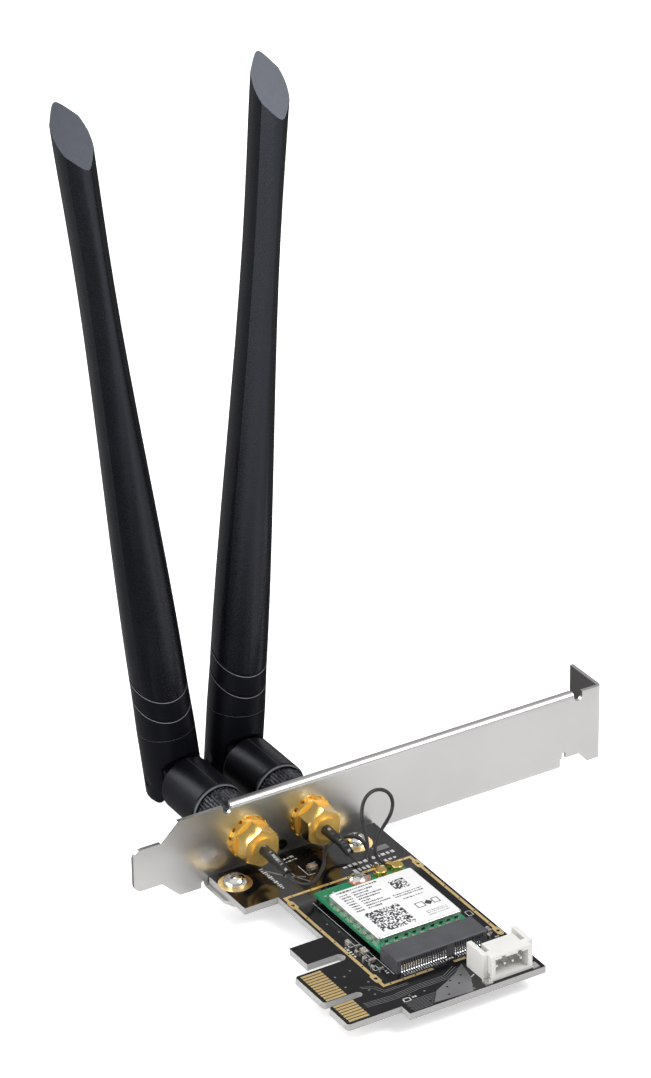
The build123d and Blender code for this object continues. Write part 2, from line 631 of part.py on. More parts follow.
# four-way header: a box open to the front, with a wing and a slot each side, square pins and solder anchors
hy0 = FRONT_Y + HEAD_BACK
hy1 = hy0 + HEAD_DEEP
hx0 = HEAD_X - HEAD_W / 2
hx1 = HEAD_X + HEAD_W / 2
head = block(hx0, hx1, hy0, hy1, 0, HEAD_H)
head = fillet([e for e in head.edges() if runs_along(e, 1) and near(e.center().Z, HEAD_H)], HEAD_SOFT)
head += block(hx0 - HEAD_WING, hx1 + HEAD_WING, hy0 + HEAD_WING_BACK, hy1, 0, HEAD_H)
inner = hy1 - HEAD_BACK_WALL - HEAD_ROOF_BACK
head -= block(hx0 + HEAD_WALL, hx1 - HEAD_WALL, hy0 - 1, inner, HEAD_WALL, HEAD_H - HEAD_WALL)
head -= block(hx0 + HEAD_SLOT_W, hx1 - HEAD_SLOT_W, hy1 - HEAD_ROOF_BACK, hy1 + 1, HEAD_SLOT_Z, HEAD_H + 1)
head -= block(hx0, hx0 + HEAD_SLOT_W, hy1 - HEAD_SLOT_LEN, hy1 + 1, HEAD_SLOT_Z, HEAD_H + 1)
head -= block(hx1 - HEAD_SLOT_W, hx1, hy1 - HEAD_SLOT_LEN, hy1 + 1, HEAD_SLOT_Z, HEAD_H + 1)
for i in range(2):
    x = HEAD_X + WAY_PITCH * (i - 0.5) * 2
    head -= block(x - 0.5, x + 0.5, hy0 - 1, hy0 + 1.6, HEAD_H - HEAD_WALL - 0.1, HEAD_H - HEAD_WALL / 2)
pin_z = (HEAD_WALL + HEAD_SLOT_Z) / 2 + PIN_SQ
pin_tail = hy1 + 1.4
header_pins = []
for i in range(WAYS):
    x = HEAD_X + WAY_PITCH * (i - (WAYS - 1) / 2)
    hole = block(x - PIN_SQ / 2, x + PIN_SQ / 2, hy0, hy1 + 1, pin_z - PIN_SQ / 2, pin_z + PIN_SQ / 2)
    head -= hole
    pin = block(x - PIN_SQ / 2, x + PIN_SQ / 2, hy0 + 1.2, hy1 + 0.5, pin_z - PIN_SQ / 2, pin_z + PIN_SQ / 2)
    pin += block(x - PIN_SQ / 2, x + PIN_SQ / 2, hy1, hy1 + 0.5, 0, pin_z + PIN_SQ / 2)
    pin += block(x - PIN_SQ / 2, x + PIN_SQ / 2, hy1, pin_tail, 0, 0.3)
    header_pins.append(pin)
parts["header_pins"] = Compound(header_pins)
anchors = []
for s in (-1, 1):
    edge = HEAD_X + s * HEAD_W / 2
    out = edge + s * ANCHOR_OUT
    leg = edge + s * ANCHOR_T
    stop = hy0 + HEAD_WING_BACK - ANCHOR_GAP
    foot = block(min(edge, out), max(edge, out), hy0 - ANCHOR_FRONT, stop, 0, ANCHOR_T)
    foot += block(min(edge, leg), max(edge, leg), hy0 + ANCHOR_T, stop, 0, HEAD_H * 0.3)
    anchors.append(foot)
parts["header_anchors"] = Compound(anchors)
parts["header_housing"] = head

# surface parts on the board: lane, share across it, y, length, width, height, and 1 where they lie along Y
LANES = [(low + STRIP_W, sx0), (sx1, high - STRIP_W), (SCREW_XA, SCREW_XB)]
SURFACE = [
    (0, 0.42, 17.4, 1.6, 0.8, 0.7, 1),
    (0, 0.68, 15.4, 1.0, 0.5, 0.5, 0),
    (0, 0.35, 13.6, 1.0, 0.5, 0.5, 1),
    (0, 0.66, 12.6, 2.0, 1.25, 0.9, 1),
    (0, 0.35, 10.4, 1.0, 0.5, 0.5, 0),
    (0, 0.58, 8.9, 1.6, 0.8, 0.7, 0),
    (0, 0.3, 6.9, 1.0, 0.5, 0.5, 1),
    (0, 0.6, 5.4, 1.0, 0.5, 0.5, 0),
    (1, 0.44, 7.6, 1.0, 0.5, 0.5, 0),
    (1, 0.66, 5.9, 1.6, 0.8, 0.7, 1),
    (1, 0.4, 4.1, 1.0, 0.5, 0.5, 1),
    (1, 0.66, 2.6, 1.0, 0.5, 0.5, 0),
    (2, 0.558, 47.2, 2.2, 1.5, 0.8, 0),
]
bodies = []
ends = []
for lane, across, y, length, width, height, along_y in SURFACE:
    x = LANES[lane][0] * (1 - across) + LANES[lane][1] * across
    cap = length * 0.22
    place = Pos(x, y, height / 2) * Rot(0, 0, 90 * along_y)
    bodies.append(place * Box(length - 2 * cap, width * 0.94, height * 0.94))
    for s in (-1, 1):
        ends.append(place * Pos(s * (length - cap) / 2, 0, 0) * Box(cap, width, height))
parts["surface_parts"] = Compound(bodies)
parts["surface_part_ends"] = Compound(ends)

# panel jacks: washers and hexagon inside the bracket, thread and nut outside
flat = bar(WASHER_R, -WASHER_T, 0, THREAD_R + JACK_HOLE_PLAY)
teeth = []
for i in range(STAR_TEETH):
    a = 2 * pi * i / STAR_TEETH
    step = pi / STAR_TEETH
    inner = STAR_R - STAR_NOTCH
    for turn, r in ((-0.45, inner), (-0.3, STAR_R), (0.3, STAR_R), (0.45, inner)):
        teeth.append((r * cos(a + 2 * step * turn), r * sin(a + 2 * step * turn)))
star_face = make_face(Polyline(*teeth, close=True)) - Circle(THREAD_R + JACK_HOLE_PLAY)
star = extrude(Plane((0, -WASHER_T, 0), x_dir=(1, 0, 0), z_dir=(0, -1, 0)) * star_face, STAR_T)
jack = turned(
    [
        (BORE_R, -HEX_TO + 1.2),
        (PIN_R + 0.4, -HEX_TO + 1.2),
        (PIN_R + 0.4, -STEP_TO),
        (STEP_R, -STEP_TO),
        (STEP_R, -HEX_FROM),
        (FLANGE_R, -HEX_FROM),
        (FLANGE_R, -WASHER_T - STAR_T),
        (THREAD_R, -WASHER_T - STAR_T),
        (THREAD_R, THREAD_END - 0.4),
        (THREAD_R - 0.4, THREAD_END),
        (BORE_R, THREAD_END),
    ]
)
hexed = hexagon(HEX_AF, -HEX_TO, -HEX_FROM) - bar(STEP_R, -HEX_TO - 1, -HEX_FROM + 1)
cone_r = HEX_AF / 2 + 0.25
cone_y = -HEX_TO + (HEX_AF - cone_r) * 0.6
trim = turned([(0, -HEX_TO), (cone_r, -HEX_TO), (HEX_AF, cone_y), (HEX_AF, -HEX_FROM), (0, -HEX_FROM)])
jack += hexed & trim
nut = hexagon(NUT_AF, SHEET, NUT_OUT) - bar(THREAD_R + SCREW_PLAY, 0, NUT_OUT + 1)
liner_from = -HEX_TO + 1.2
liner_mid = SHEET + 2.0
liner_to = THREAD_END - 0.4
liner = turned(
    [
        (PIN_R, liner_from),
        (BORE_R, liner_from),
        (BORE_R, liner_to),
        (CONTACT_R + PLUG_PLAY, liner_to),
        (CONTACT_R + PLUG_PLAY, liner_mid),
        (PIN_R, liner_mid),
    ]
)
pin_to = liner_to - 0.5
centre_pin = turned(
    [(0, -HEX_TO), (PIN_R, -HEX_TO), (PIN_R, pin_to - 0.7), (PIN_R * 0.4, pin_to), (0, pin_to)]
)
ferrule = bar(FERRULE_R, -STEP_TO - FERRULE_LEN, -STEP_TO, LEAD_D / 2)
sag_from = -STEP_TO - FERRULE_LEN
sag_len = SHRINK_LEN - FERRULE_LEN
sag_end = (0, sag_from - sag_len, -SHRINK_DROP)
sag_arc = TangentArc((0, sag_from, 0), sag_end, tangent=(0, -1, 0))
straight = turned(
    [
        (FERRULE_R, sag_from),
        (SHRINK_END_R, sag_from),
        (SHRINK_R, sag_from + SHRINK_SLOPE),
        (SHRINK_R, -STEP_TO),
        (FERRULE_R, -STEP_TO),
    ]
)
ring_at = Plane((0, sag_from, 0), x_dir=(1, 0, 0), z_dir=(0, -1, 0))
bent = sweep(ring_at * (Circle(SHRINK_END_R) - Circle(LEAD_D / 2)), path=sag_arc)
shrink = straight + bent
nuts = []
washers = []
for side_name, x in zip(("left", "right"), JACK_XS):
    seat = Pos(x, BRACKET_Y, JACK_Z)
    washers += [seat * flat, seat * star]
    nuts.append(seat * nut)
    parts["jack_body_" + side_name] = seat * jack
    parts["jack_insulator_" + side_name] = seat * liner
    parts["jack_pin_" + side_name] = seat * centre_pin
    parts["crimp_ferrule_" + side_name] = seat * ferrule
    parts["shrink_sleeve_" + side_name] = seat * shrink
parts["jack_washers"] = Compound(washers)
parts["panel_nuts"] = Compound(nuts)

# coaxial leads, from the shrink sleeve to the push-on plug
lead_starts = [Vector(x, BRACKET_Y + sag_end[1], JACK_Z + sag_end[2]) for x in JACK_XS]
lead_ends = []
for (x, y), turn in zip(ports, PLUG_TURN):
    reach = CAP_R + CRIMP_LEN + CRIMP_PLAY
    out = Vector(-sin(radians(turn)), cos(radians(turn)), 0) * reach
    lead_ends.append(Vector(x, y, MOD_TOP + LEAD_UP) + out)
# each lead's bow: steps away from the straight line between its ends, shared out evenly along it
BOW_LEFT = [
    (-1.23, -1.3, -0.4),
    (-1.49, -2.49, -0.88),
    (-1.12, -2.84, -1.25),
    (-0.52, -2.13, -1.56),
    (0.38, -0.13, -1.78),
    (1.44, 2.18, -1.89),
    (2.61, 5.08, -2.01),
    (3.18, 8.19, -1.53),
    (4.04, 10.59, -0.94),
    (5.51, 11.84, -0.51),
    (6.97, 11.5, -0.02),
    (7.34, 9.6, 0.36),
    (6, 7.11, 0.4),
    (3.87, 4.61, 0.18),
    (1.63, 2.32, 0.02),
]
BOW_RIGHT = [
    (-0.32, -1.22, -0.4),
    (-0.1, -2.39, -0.22),
    (0.43, -3.07, 0.72),
    (0.75, -3.19, 2.31),
    (0.63, -2.76, 4.4),
    (0.15, -1.98, 6.84),
    (-0.37, -0.9, 9.58),
    (-0.2, 0.27, 12.22),
    (0.98, 1.35, 14.16),
    (3.05, 2.13, 15),
    (5.23, 2.51, 14.45),
    (6.7, 2.69, 12.89),
    (7.08, 2.71, 10.73),
    (6.05, 2.54, 8.67),
    (4.13, 2.32, 7.11),
    (2, 2.1, 5.75),
    (0.28, 1.87, 3.99),
    (-0.55, 1.65, 2.13),
    (-0.57, 1.28, 0.72),
    (-0.3, 0.7, -0),
]


def coax(points):
    """A round lead along straight runs joined by arcs as large as the runs allow."""
    pts = [Vector(*p) for p in points]
    radii = []
    for a, b, c in zip(pts, pts[1:], pts[2:]):
        half = radians((b - a).get_angle(c - b)) / 2
        radii.append(0.45 * min((b - a).length, (c - b).length) / tan(half))
    print("lead radii", [round(r, 1) for r in radii])
    path = FilletPolyline(*points, radius=radii)
    start = Plane(origin=points[0], z_dir=pts[1] - pts[0])
    solid = sweep(start * Circle(LEAD_D / 2), path=path)
    ratio = solid.volume / (path.length * pi * LEAD_D**2 / 4)
    print("lead length", round(path.length, 1), "volume ratio", round(ratio, 3))
    return solid


for side_name, start, bow, end in zip(("left", "right"), lead_starts, (BOW_LEFT, BOW_RIGHT), lead_ends):
    route = []
    for i, step in enumerate(bow):
        share = (i + 1) / (len(bow) + 1)
        route.append(tuple(start * (1 - share) + end * share + Vector(*step)))
    parts["coax_lead_" + side_name] = coax([tuple(start)] + route + [tuple(end)])

# antenna screw end: knurled sleeve moulded on a coupling nut, trapped on the plug by the plug's flange
ridges = []
for i in range(KNURLS):
    for turn, r in ((0.0, SLEEVE_R - KNURL_DEEP), (0.3, SLEEVE_R), (0.7, SLEEVE_R)):
        a = 2 * pi * (i + turn) / KNURLS
        ridges.append((r * cos(a), r * sin(a)))
knurl = make_face(Polyline(*ridges, close=True)) - Circle(COUPLING_R)
sleeve_face = Plane((0, SLEEVE_FROM, 0), x_dir=(1, 0, 0), z_dir=(0, 1, 0)) * knurl
sleeve = extrude(sleeve_face, SLEEVE_TO - SLEEVE_FROM)
cone = turned(
    [
        (0, SLEEVE_FROM),
        (SLEEVE_R - 0.6, SLEEVE_FROM),
        (SLEEVE_R, SLEEVE_FROM + 0.6),
        (SLEEVE_R, SLEEVE_TO),
        (0, SLEEVE_TO),
    ]
)
sleeve &= cone
coupling = turned(
    [
        (THREAD_R + THREAD_PLAY, SLEEVE_FROM),
        (COUPLING_R, SLEEVE_FROM),
        (COUPLING_R, COUPLING_TO),
        (PLUG_STEM_R + PLUG_PLAY, COUPLING_TO),
        (PLUG_STEM_R + PLUG_PLAY, FLANGE_TO + PLUG_PLAY),
        (PLUG_FLANGE_R + PLUG_PLAY, FLANGE_TO + PLUG_PLAY),
        (PLUG_FLANGE_R + PLUG_PLAY, THREAD_END - PLUG_PLAY),
        (THREAD_R + THREAD_PLAY, THREAD_END - PLUG_PLAY),
    ]
)
plug_bore = BORE_R - 0.15
plug = turned(
    [
        (plug_bore, FLANGE_FROM),
        (PLUG_FLANGE_R, FLANGE_FROM),
        (PLUG_FLANGE_R, FLANGE_TO),
        (PLUG_STEM_R, FLANGE_TO),
        (PLUG_STEM_R, STEM_TO),
        (plug_bore, STEM_TO),
    ]
)
bush = bar(plug_bore, FLANGE_FROM, STEM_TO, CONTACT_R)
contact = bar(CONTACT_R, liner_mid + 0.4, STEM_TO, CONTACT_R - CONTACT_WALL)

# elbow: a round body with a rim over the sleeve, and a flat tongue with a round knuckle for the hinge
elbow = turned(
    [
        (ELBOW_R - RIM_WALL, ELBOW_FROM),
        (ELBOW_R - RIM_ROUND * 0.4, ELBOW_FROM),
        (ELBOW_R, ELBOW_FROM + RIM_ROUND),
        (ELBOW_R, ELBOW_TO),
        (0, ELBOW_TO),
        (0, STEM_TO),
        (PLUG_STEM_R, STEM_TO),
        (PLUG_STEM_R, NECK_FROM),
        (COUPLING_R + SLEEVE_PLAY, NECK_FROM),
        (COUPLING_R + SLEEVE_PLAY, ELBOW_FROM + RIM_DEEP),
        (ELBOW_R - RIM_WALL, ELBOW_FROM + RIM_DEEP),
    ]
)
elbow = fillet([e for e in elbow.edges() if near(e.center().Y, ELBOW_TO)], BARREL_ROUND)
tongue_w = SLOT_W - 2 * TONGUE_PLAY
tongue = block(-tongue_w / 2, tongue_w / 2, ELBOW_TO - 1, HINGE_OUT, -KNUCKLE_R, KNUCKLE_R)
tongue &= bar(ELBOW_R, ELBOW_TO - 1, HINGE_OUT)
knuckle = Pos(0, HINGE_OUT, 0) * Rot(0, 90, 0) * Cylinder(KNUCKLE_R, tongue_w)
elbow += tongue
elbow += knuckle
elbow -= Pos(0, HINGE_OUT, 0) * Rot(0, 90, 0) * Cylinder(HINGE_R + HINGE_PLAY, 4 * FORK_R)
hinge_pin = Pos(0, HINGE_OUT, 0) * Rot(0, 90, 0) * Cylinder(HINGE_R, 2 * (FORK_R - DIMPLE))

# fork: the whip's foot, round outside, with a slot and an arch for the tongue and a rounded end
fork = Pos(0, 0, SEAM_AT / 2) * Cylinder(FORK_R, SEAM_AT)
foot_end = Pos(0, 0, -FORK_R / 2) * Cylinder(FORK_R, FORK_R)
foot_end &= Rot(0, 90, 0) * Cylinder(FORK_END_R, 4 * FORK_R)
fork += foot_end & (Rot(90, 0, 0) * Cylinder(FORK_CORNER_R, 4 * FORK_R))
fork += Pos(0, 0, SEAM_AT + SPIGOT_LEN / 2) * Cylinder(SPIGOT_R, SPIGOT_LEN)
gap = Rot(0, 90, 0) * Cylinder(KNUCKLE_R + KNUCKLE_PLAY, SLOT_W)
gap += block(-SLOT_W / 2, SLOT_W / 2, -2 * FORK_R, 0, -2 * FORK_R, KNUCKLE_R + KNUCKLE_PLAY)
gap += block(-SLOT_W / 2, SLOT_W / 2, -2 * FORK_R, 2 * FORK_R, -2 * FORK_R, 0)
arch = bar(ARCH_R, -2 * FORK_R, -FORK_R + ARCH_DEEP)
gap += arch & block(-SLOT_W / 2, SLOT_W / 2, -2 * FORK_R, FORK_R, -FORK_R, 2 * FORK_R)
fork -= gap
fork -= Rot(0, 90, 0) * Cylinder(HINGE_R, 4 * FORK_R)

# collar between fork and whip: a flat seam below, a slanted groove round it and a slanted joint above
collar_line = [
    (SPIGOT_R + SPIGOT_PLAY, SEAM_AT),
    (FORK_R - SEAM_DEEP, SEAM_AT),
    (FORK_R, SEAM_AT + SEAM_DEEP),
    (WHIP_ROOT_R, RING_LOW),
    (WHIP_ROOT_R, RING_HIGH),
    (WHIP_BORE_R, RING_HIGH),
    (WHIP_BORE_R, SEAM_AT + SPIGOT_LEN),
    (SPIGOT_R + SPIGOT_PLAY, SEAM_AT + SPIGOT_LEN),
]
collar = revolve(Plane.XZ * make_face(Polyline(*collar_line, close=True)), Axis.Z)


def slanted(w, below, above):
    """A wide slab round the whip's axis, low in front: from below to above its middle plane."""
    slab = Pos(0, 0, (above - below) / 2) * Box(8 * FORK_R, 8 * FORK_R, above + below)
    return Pos(0, 0, w) * Rot(RING_SLANT, 0, 0) * slab


collar -= slanted(RING_AT, 0, 2 * RING_RISE)
core = upright(0, 0, WHIP_ROOT_R - GROOVE_DEEP, 0, SPIGOT_TOP)
for w in (GROOVE_AT, RING_AT):
    collar -= slanted(w, GROOVE_W, 0) - core
    lip_z = w - GROOVE_W / cos(radians(RING_SLANT))
    rims = [e for e in collar.edges() if e.length > 2 * pi * WHIP_ROOT_R]
    collar = chamfer([e for e in rims if abs(e.center().Z - lip_z) < 0.05], GROOVE_LIP)
collar += upright(0, 0, SPIGOT_R, RING_LOW, SPIGOT_TOP) - upright(0, 0, WHIP_BORE_R, 0, SPIGOT_TOP + 1)


def whip_section(w, depth, crease_x, crease_y, bulge, nose_x, nose_y):
    """One section of the whip: two bulged sides between creases, and a blunt nose before and behind."""
    right = ThreePointArc((crease_x, -crease_y), (crease_x + bulge, 0), (crease_x, crease_y))
    back = Bezier((crease_x, crease_y), (nose_x, nose_y), (-nose_x, nose_y), (-crease_x, crease_y))
    left = ThreePointArc((-crease_x, crease_y), (-crease_x - bulge, 0), (-crease_x, -crease_y))
    front = Bezier((-crease_x, -crease_y), (-nose_x, -nose_y), (nose_x, -nose_y), (crease_x, -crease_y))
    return Pos(0, 0, w) * make_face(Curve() + [right, back, left, front])


# the whip goes smoothly from a round root to the creased section, which then stays the same to the tip
ROUND_AT = radians(28)
STATIONS = []
for i in range(10):
    share = i / 9
    STATIONS.append((RING_LOW + (CREASE_FROM - RING_LOW) * share, share * share * (3 - 2 * share)))
sections = []
root = WHIP_ROOT_R
handle = root * 4 / 3 * tan((pi / 2 - ROUND_AT) / 2)
round_nose = (root * cos(ROUND_AT) - handle * sin(ROUND_AT), root * sin(ROUND_AT) + handle * cos(ROUND_AT))
tip_nose = (-NOSE_CROSS * CREASE_X, (WHIP_DEPTH - 0.25 * CREASE_Y) / 0.75)
tip_z = WHIP_LEN + 2 * WHIP_DEPTH
for w, share in STATIONS + [(tip_z, 1.0)]:
    mix = [
        a + (b - a) * share
        for a, b in (
            (root, WHIP_DEPTH),
            (root * cos(ROUND_AT), CREASE_X),
            (root * sin(ROUND_AT), CREASE_Y),
            (root - root * cos(ROUND_AT), SIDE_BULGE),
            (round_nose[0], tip_nose[0]),
            (round_nose[1], tip_nose[1]),
        )
    ]
    sections.append(whip_section(w, *mix))
whip = loft(sections)
tip_room = Pos(0, 0, WHIP_LEN / 2) * Box(WHIP_LEN, WHIP_LEN, WHIP_LEN)
whip -= Pos(0, 0, WHIP_LEN) * Rot(WHIP_SLANT, 0, 0) * tip_room
whip -= slanted(RING_AT, 2 * RING_RISE, 0)
whip -= upright(0, 0, SPIGOT_R + SPIGOT_PLAY, 0, SPIGOT_TOP + SPIGOT_PLAY)
whip -= upright(0, 0, WHIP_BORE_R, 0, BORE_STEP)
whip -= upright(0, 0, WHIP_BORE_TIP_R, 0, BORE_END)
radiator = upright(0, 0, CORE_R, SEAM_AT + SPIGOT_LEN, BORE_END)
bead_at = SPIGOT_TOP + BEAD_GAP
radiator += upright(0, 0, WHIP_BORE_R, bead_at, bead_at + BEAD_LEN)
radiator += upright(0, 0, TUBE_R, bead_at, bead_at + TUBE_LEN)
tip_bead = BORE_STEP + BEAD_GAP
radiator += upright(0, 0, WHIP_BORE_TIP_R, tip_bead, tip_bead + BEAD_LEN)

for side_name, x, turn in zip(("left", "right"), JACK_XS, (TURN_A, TURN_B)):
    seat = Pos(x, BRACKET_Y, JACK_Z) * Rot(0, turn, 0)
    hinge = seat * Pos(0, HINGE_OUT, 0)
    parts["knurled_sleeve_" + side_name] = seat * sleeve
    parts["coupling_nut_" + side_name] = seat * coupling
    parts["plug_body_" + side_name] = seat * plug
    parts["plug_insulator_" + side_name] = seat * bush
    parts["plug_contact_" + side_name] = seat * contact
    parts["elbow_" + side_name] = seat * elbow
    parts["hinge_pin_" + side_name] = seat * hinge_pin
    parts["fork_" + side_name] = hinge * fork
    parts["collar_" + side_name] = hinge * collar
    parts["whip_" + side_name] = hinge * whip
    parts["radiator_" + side_name] = hinge * radiator

os.makedirs("parts", exist_ok=True)
for name, shape in parts.items():
    export_step(shape, "parts/" + name + ".step")
print(len(parts), "nodes")
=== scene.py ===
import bpy
import numpy as np
from mathutils import Matrix


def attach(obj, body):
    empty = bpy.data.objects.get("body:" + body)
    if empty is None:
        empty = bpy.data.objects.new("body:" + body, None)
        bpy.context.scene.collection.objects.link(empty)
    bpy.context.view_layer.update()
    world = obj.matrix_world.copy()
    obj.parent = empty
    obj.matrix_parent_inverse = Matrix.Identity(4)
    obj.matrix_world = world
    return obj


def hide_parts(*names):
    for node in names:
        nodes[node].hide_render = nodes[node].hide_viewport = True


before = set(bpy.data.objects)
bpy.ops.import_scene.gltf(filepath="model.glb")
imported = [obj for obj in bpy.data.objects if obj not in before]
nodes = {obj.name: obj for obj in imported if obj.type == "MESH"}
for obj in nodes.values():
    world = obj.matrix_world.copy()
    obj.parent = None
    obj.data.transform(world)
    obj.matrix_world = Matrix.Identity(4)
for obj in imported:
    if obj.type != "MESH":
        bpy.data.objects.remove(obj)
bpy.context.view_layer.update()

# Bracket: one blank of thin steel sheet, pressed out, folded along its lips, ears and top tab, then nickel
# plated. The plating is satin, with a faint uneven bloom and fine rolling lines along its length. A small smoked
# lens is pressed into its light hole.


def new_finish(name, colour, rough, metal=0.0, specular=0.5):
    """A node material with one shader. Returns the material, its tree and its shader."""
    mat = bpy.data.materials.new(name)
    mat.use_nodes = True
    tree = mat.node_tree
    shader = tree.nodes["Principled BSDF"]
    shader.inputs["Base Color"].default_value = (*colour, 1.0)
    shader.inputs["Roughness"].default_value = rough
    shader.inputs["Metallic"].default_value = metal
    shader.inputs["Specular IOR Level"].default_value = specular
    return mat, tree, shader


def place(tree, stretch=(1.0, 1.0, 1.0), move=(0.0, 0.0, 0.0)):
    """Object coordinates in metres, stretched and then moved for a pattern."""
    coord = tree.nodes.new("ShaderNodeTexCoord")
    mapping = tree.nodes.new("ShaderNodeMapping")
    mapping.inputs["Scale"].default_value = stretch
    mapping.inputs["Location"].default_value = move
    tree.links.new(coord.outputs["Object"], mapping.inputs["Vector"])
    return mapping.outputs["Vector"]


def grain(tree, size, detail=3.0, stretch=(1.0, 1.0, 1.0)):
    """Noise from 0 to 1 with lumps about the given size, in metres."""
    tex = tree.nodes.new("ShaderNodeTexNoise")
    tex.inputs["Scale"].default_value = 1.0 / size
    tex.inputs["Detail"].default_value = detail
    tree.links.new(place(tree, stretch), tex.inputs["Vector"])
    return tex.outputs["Fac"]


def spread(tree, value, low, high, start=0.3, end=0.7):
    """Carries a value from start..end to low..high, held at both ends."""
    node = tree.nodes.new("ShaderNodeMapRange")
    node.inputs["From Min"].default_value = start
    node.inputs["From Max"].default_value = end
    node.inputs["To Min"].default_value = low
    node.inputs["To Max"].default_value = high
    tree.links.new(value, node.inputs["Value"])
    return node.outputs["Result"]


def blend_colour(tree, share, first, second):
    """Colour that goes from first to second as share goes from 0 to 1."""
    node = tree.nodes.new("ShaderNodeMix")
    node.data_type = "RGBA"
    for socket, colour in ((node.inputs[6], first), (node.inputs[7], second)):
        if isinstance(colour, tuple):
            socket.default_value = (*colour, 1.0)
        else:
            tree.links.new(colour, socket)
    tree.links.new(share, node.inputs[0])
    return node.outputs[2]


def relief(tree, shader, height, depth, strength=1.0):
    """Bump from a height of 0 to 1 that stands for a depth in metres."""
    node = tree.nodes.new("ShaderNodeBump")
    node.inputs["Strength"].default_value = strength
    node.inputs["Distance"].default_value = depth
    tree.links.new(height, node.inputs["Height"])
    tree.links.new(node.outputs["Normal"], shader.inputs["Normal"])


def mottle(tree, shader, size, first, second):
    """Base colour that drifts between two shades in patches of the given size."""
    share = spread(tree, grain(tree, size), 0.0, 1.0)
    tree.links.new(blend_colour(tree, share, first, second), shader.inputs["Base Color"])


def dress(mat, *names):
    """Gives CAD nodes their finish."""
    for name in names:
        mesh = nodes[name].data
        mesh.materials.clear()
        mesh.materials.append(mat)


nickel, tree, shader = new_finish("satin_nickel", (0.60, 0.59, 0.58), 0.32, 1.0)
mottle(tree, shader, 0.03, (0.62, 0.61, 0.60), (0.57, 0.56, 0.55))
rolled = grain(tree, 0.00025, 3.0, (0.02, 1.0, 1.0))
tree.links.new(spread(tree, rolled, 0.28, 0.36), shader.inputs["Roughness"])
relief(tree, shader, rolled, 0.0000004, 0.5)
dress(nickel, "bracket")

smoke, tree, shader = new_finish("smoked_lens", (0.006, 0.006, 0.007), 0.2, 0.0, 0.3)
relief(tree, shader, grain(tree, 0.0006), 0.000004, 0.5)
dress(smoke, "light_lens")

# Bracket screws, module screw and stand-off: small turned steel pieces with a bright nickel plate.
# Pan heads with a cross recess, slightly scuffed by the driver.
bright, tree, shader = new_finish("bright_nickel", (0.78, 0.77, 0.75), 0.14, 1.0)
worn = grain(tree, 0.0006, 3.0)
tree.links.new(spread(tree, worn, 0.08, 0.22), shader.inputs["Roughness"])
relief(tree, shader, worn, 0.00001, 0.5)
dress(bright, "bracket_screws", "module_screw", "standoff")

# Board: glass-fibre laminate under a gloss black solder mask, routed to shape, so its edges show bare grey
# laminate. The mask lies thinly over copper, which shows as faint ripples and as paler tracks and fields.


def normal_part(tree, axis):
    """One component of the face's own normal."""
    geometry = tree.nodes.new("ShaderNodeNewGeometry")
    part = tree.nodes.new("ShaderNodeSeparateXYZ")
    tree.links.new(geometry.outputs["True Normal"], part.inputs["Vector"])
    return part.outputs[axis]


mask, tree, shader = new_finish("black_mask", (0.006, 0.006, 0.007), 0.12, 0.0, 0.32)
level = tree.nodes.new("ShaderNodeMath")
level.operation = "ABSOLUTE"
tree.links.new(normal_part(tree, "Z"), level.inputs[0])
is_face = spread(tree, level.outputs[0], 0.0, 1.0, 0.75, 0.9)
weave = grain(tree, 0.0003, 3.0, (1.0, 1.0, 6.0))
laminate = blend_colour(tree, spread(tree, weave, 0.0, 1.0), (0.34, 0.335, 0.33), (0.50, 0.495, 0.485))
cloud = grain(tree, 0.012, 3.0)
gloss = blend_colour(tree, spread(tree, cloud, 0.0, 1.0), (0.004, 0.004, 0.005), (0.009, 0.009, 0.010))
tree.links.new(blend_colour(tree, is_face, laminate, gloss), shader.inputs["Base Color"])
tree.links.new(spread(tree, is_face, 0.75, 0.12, 0.0, 1.0), shader.inputs["Roughness"])
relief(tree, shader, grain(tree, 0.0005, 2.0), 0.000002, 0.5)
dress(mask, "circuit_board")

# Tracks, fields and marks on the board: copper under the mask shows paler, and white ink marks the places of
# parts. Every mark is a thin film laid on the board's face, in plain bars and outlines.
FILM = 0.015


def corners_of(spots):
    """Corners of turned rectangles. A row of spots is x, y, half length, half width and turn, in mm and
    radians, and each corner is the middle plus the turned (half length, half width)."""
    spots = np.asarray(spots, float)
    corner = np.array([(-1, -1), (1, -1), (1, 1), (-1, 1)], float)
    local = corner[None] * spots[:, None, 2:4]
    c = np.cos(spots[:, 4])[:, None]
    s = np.sin(spots[:, 4])[:, None]
    x = spots[:, :1] + local[..., 0] * c - local[..., 1] * s
    y = spots[:, 1:2] + local[..., 0] * s + local[..., 1] * c
    return np.stack([x, y], -1)


def lay(name, points, faces, mat):
    """Puts a thin piece, with its points in mm, on the card."""
    mesh = bpy.data.meshes.new(name)
    mesh.from_pydata((points / 1000).tolist(), [], faces)
    mesh.materials.append(mat)
    obj = bpy.data.objects.new(name, mesh)
    bpy.context.scene.collection.objects.link(obj)
    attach(obj, "card")


def film(name, corners, bottom, mat, tall=FILM):
    """Thin raised blocks on four corners each, counter-clockwise from above, from the bottom height up by
    tall."""
    corners = np.asarray(corners, float)
    low = np.concatenate([corners, np.full((*corners.shape[:2], 1), bottom)], 2)
    high = low + np.array([0.0, 0.0, tall])
    points = np.concatenate([low, high], 1).reshape(-1, 3)
    six = np.array([(3, 2, 1, 0), (4, 5, 6, 7), (0, 1, 5, 4), (1, 2, 6, 5), (2, 3, 7, 6), (3, 0, 4, 7)])
    faces = (six[None] + 8 * np.arange(len(corners))[:, None, None]).reshape(-1, 4)
    lay(name, points, faces.tolist(), mat)


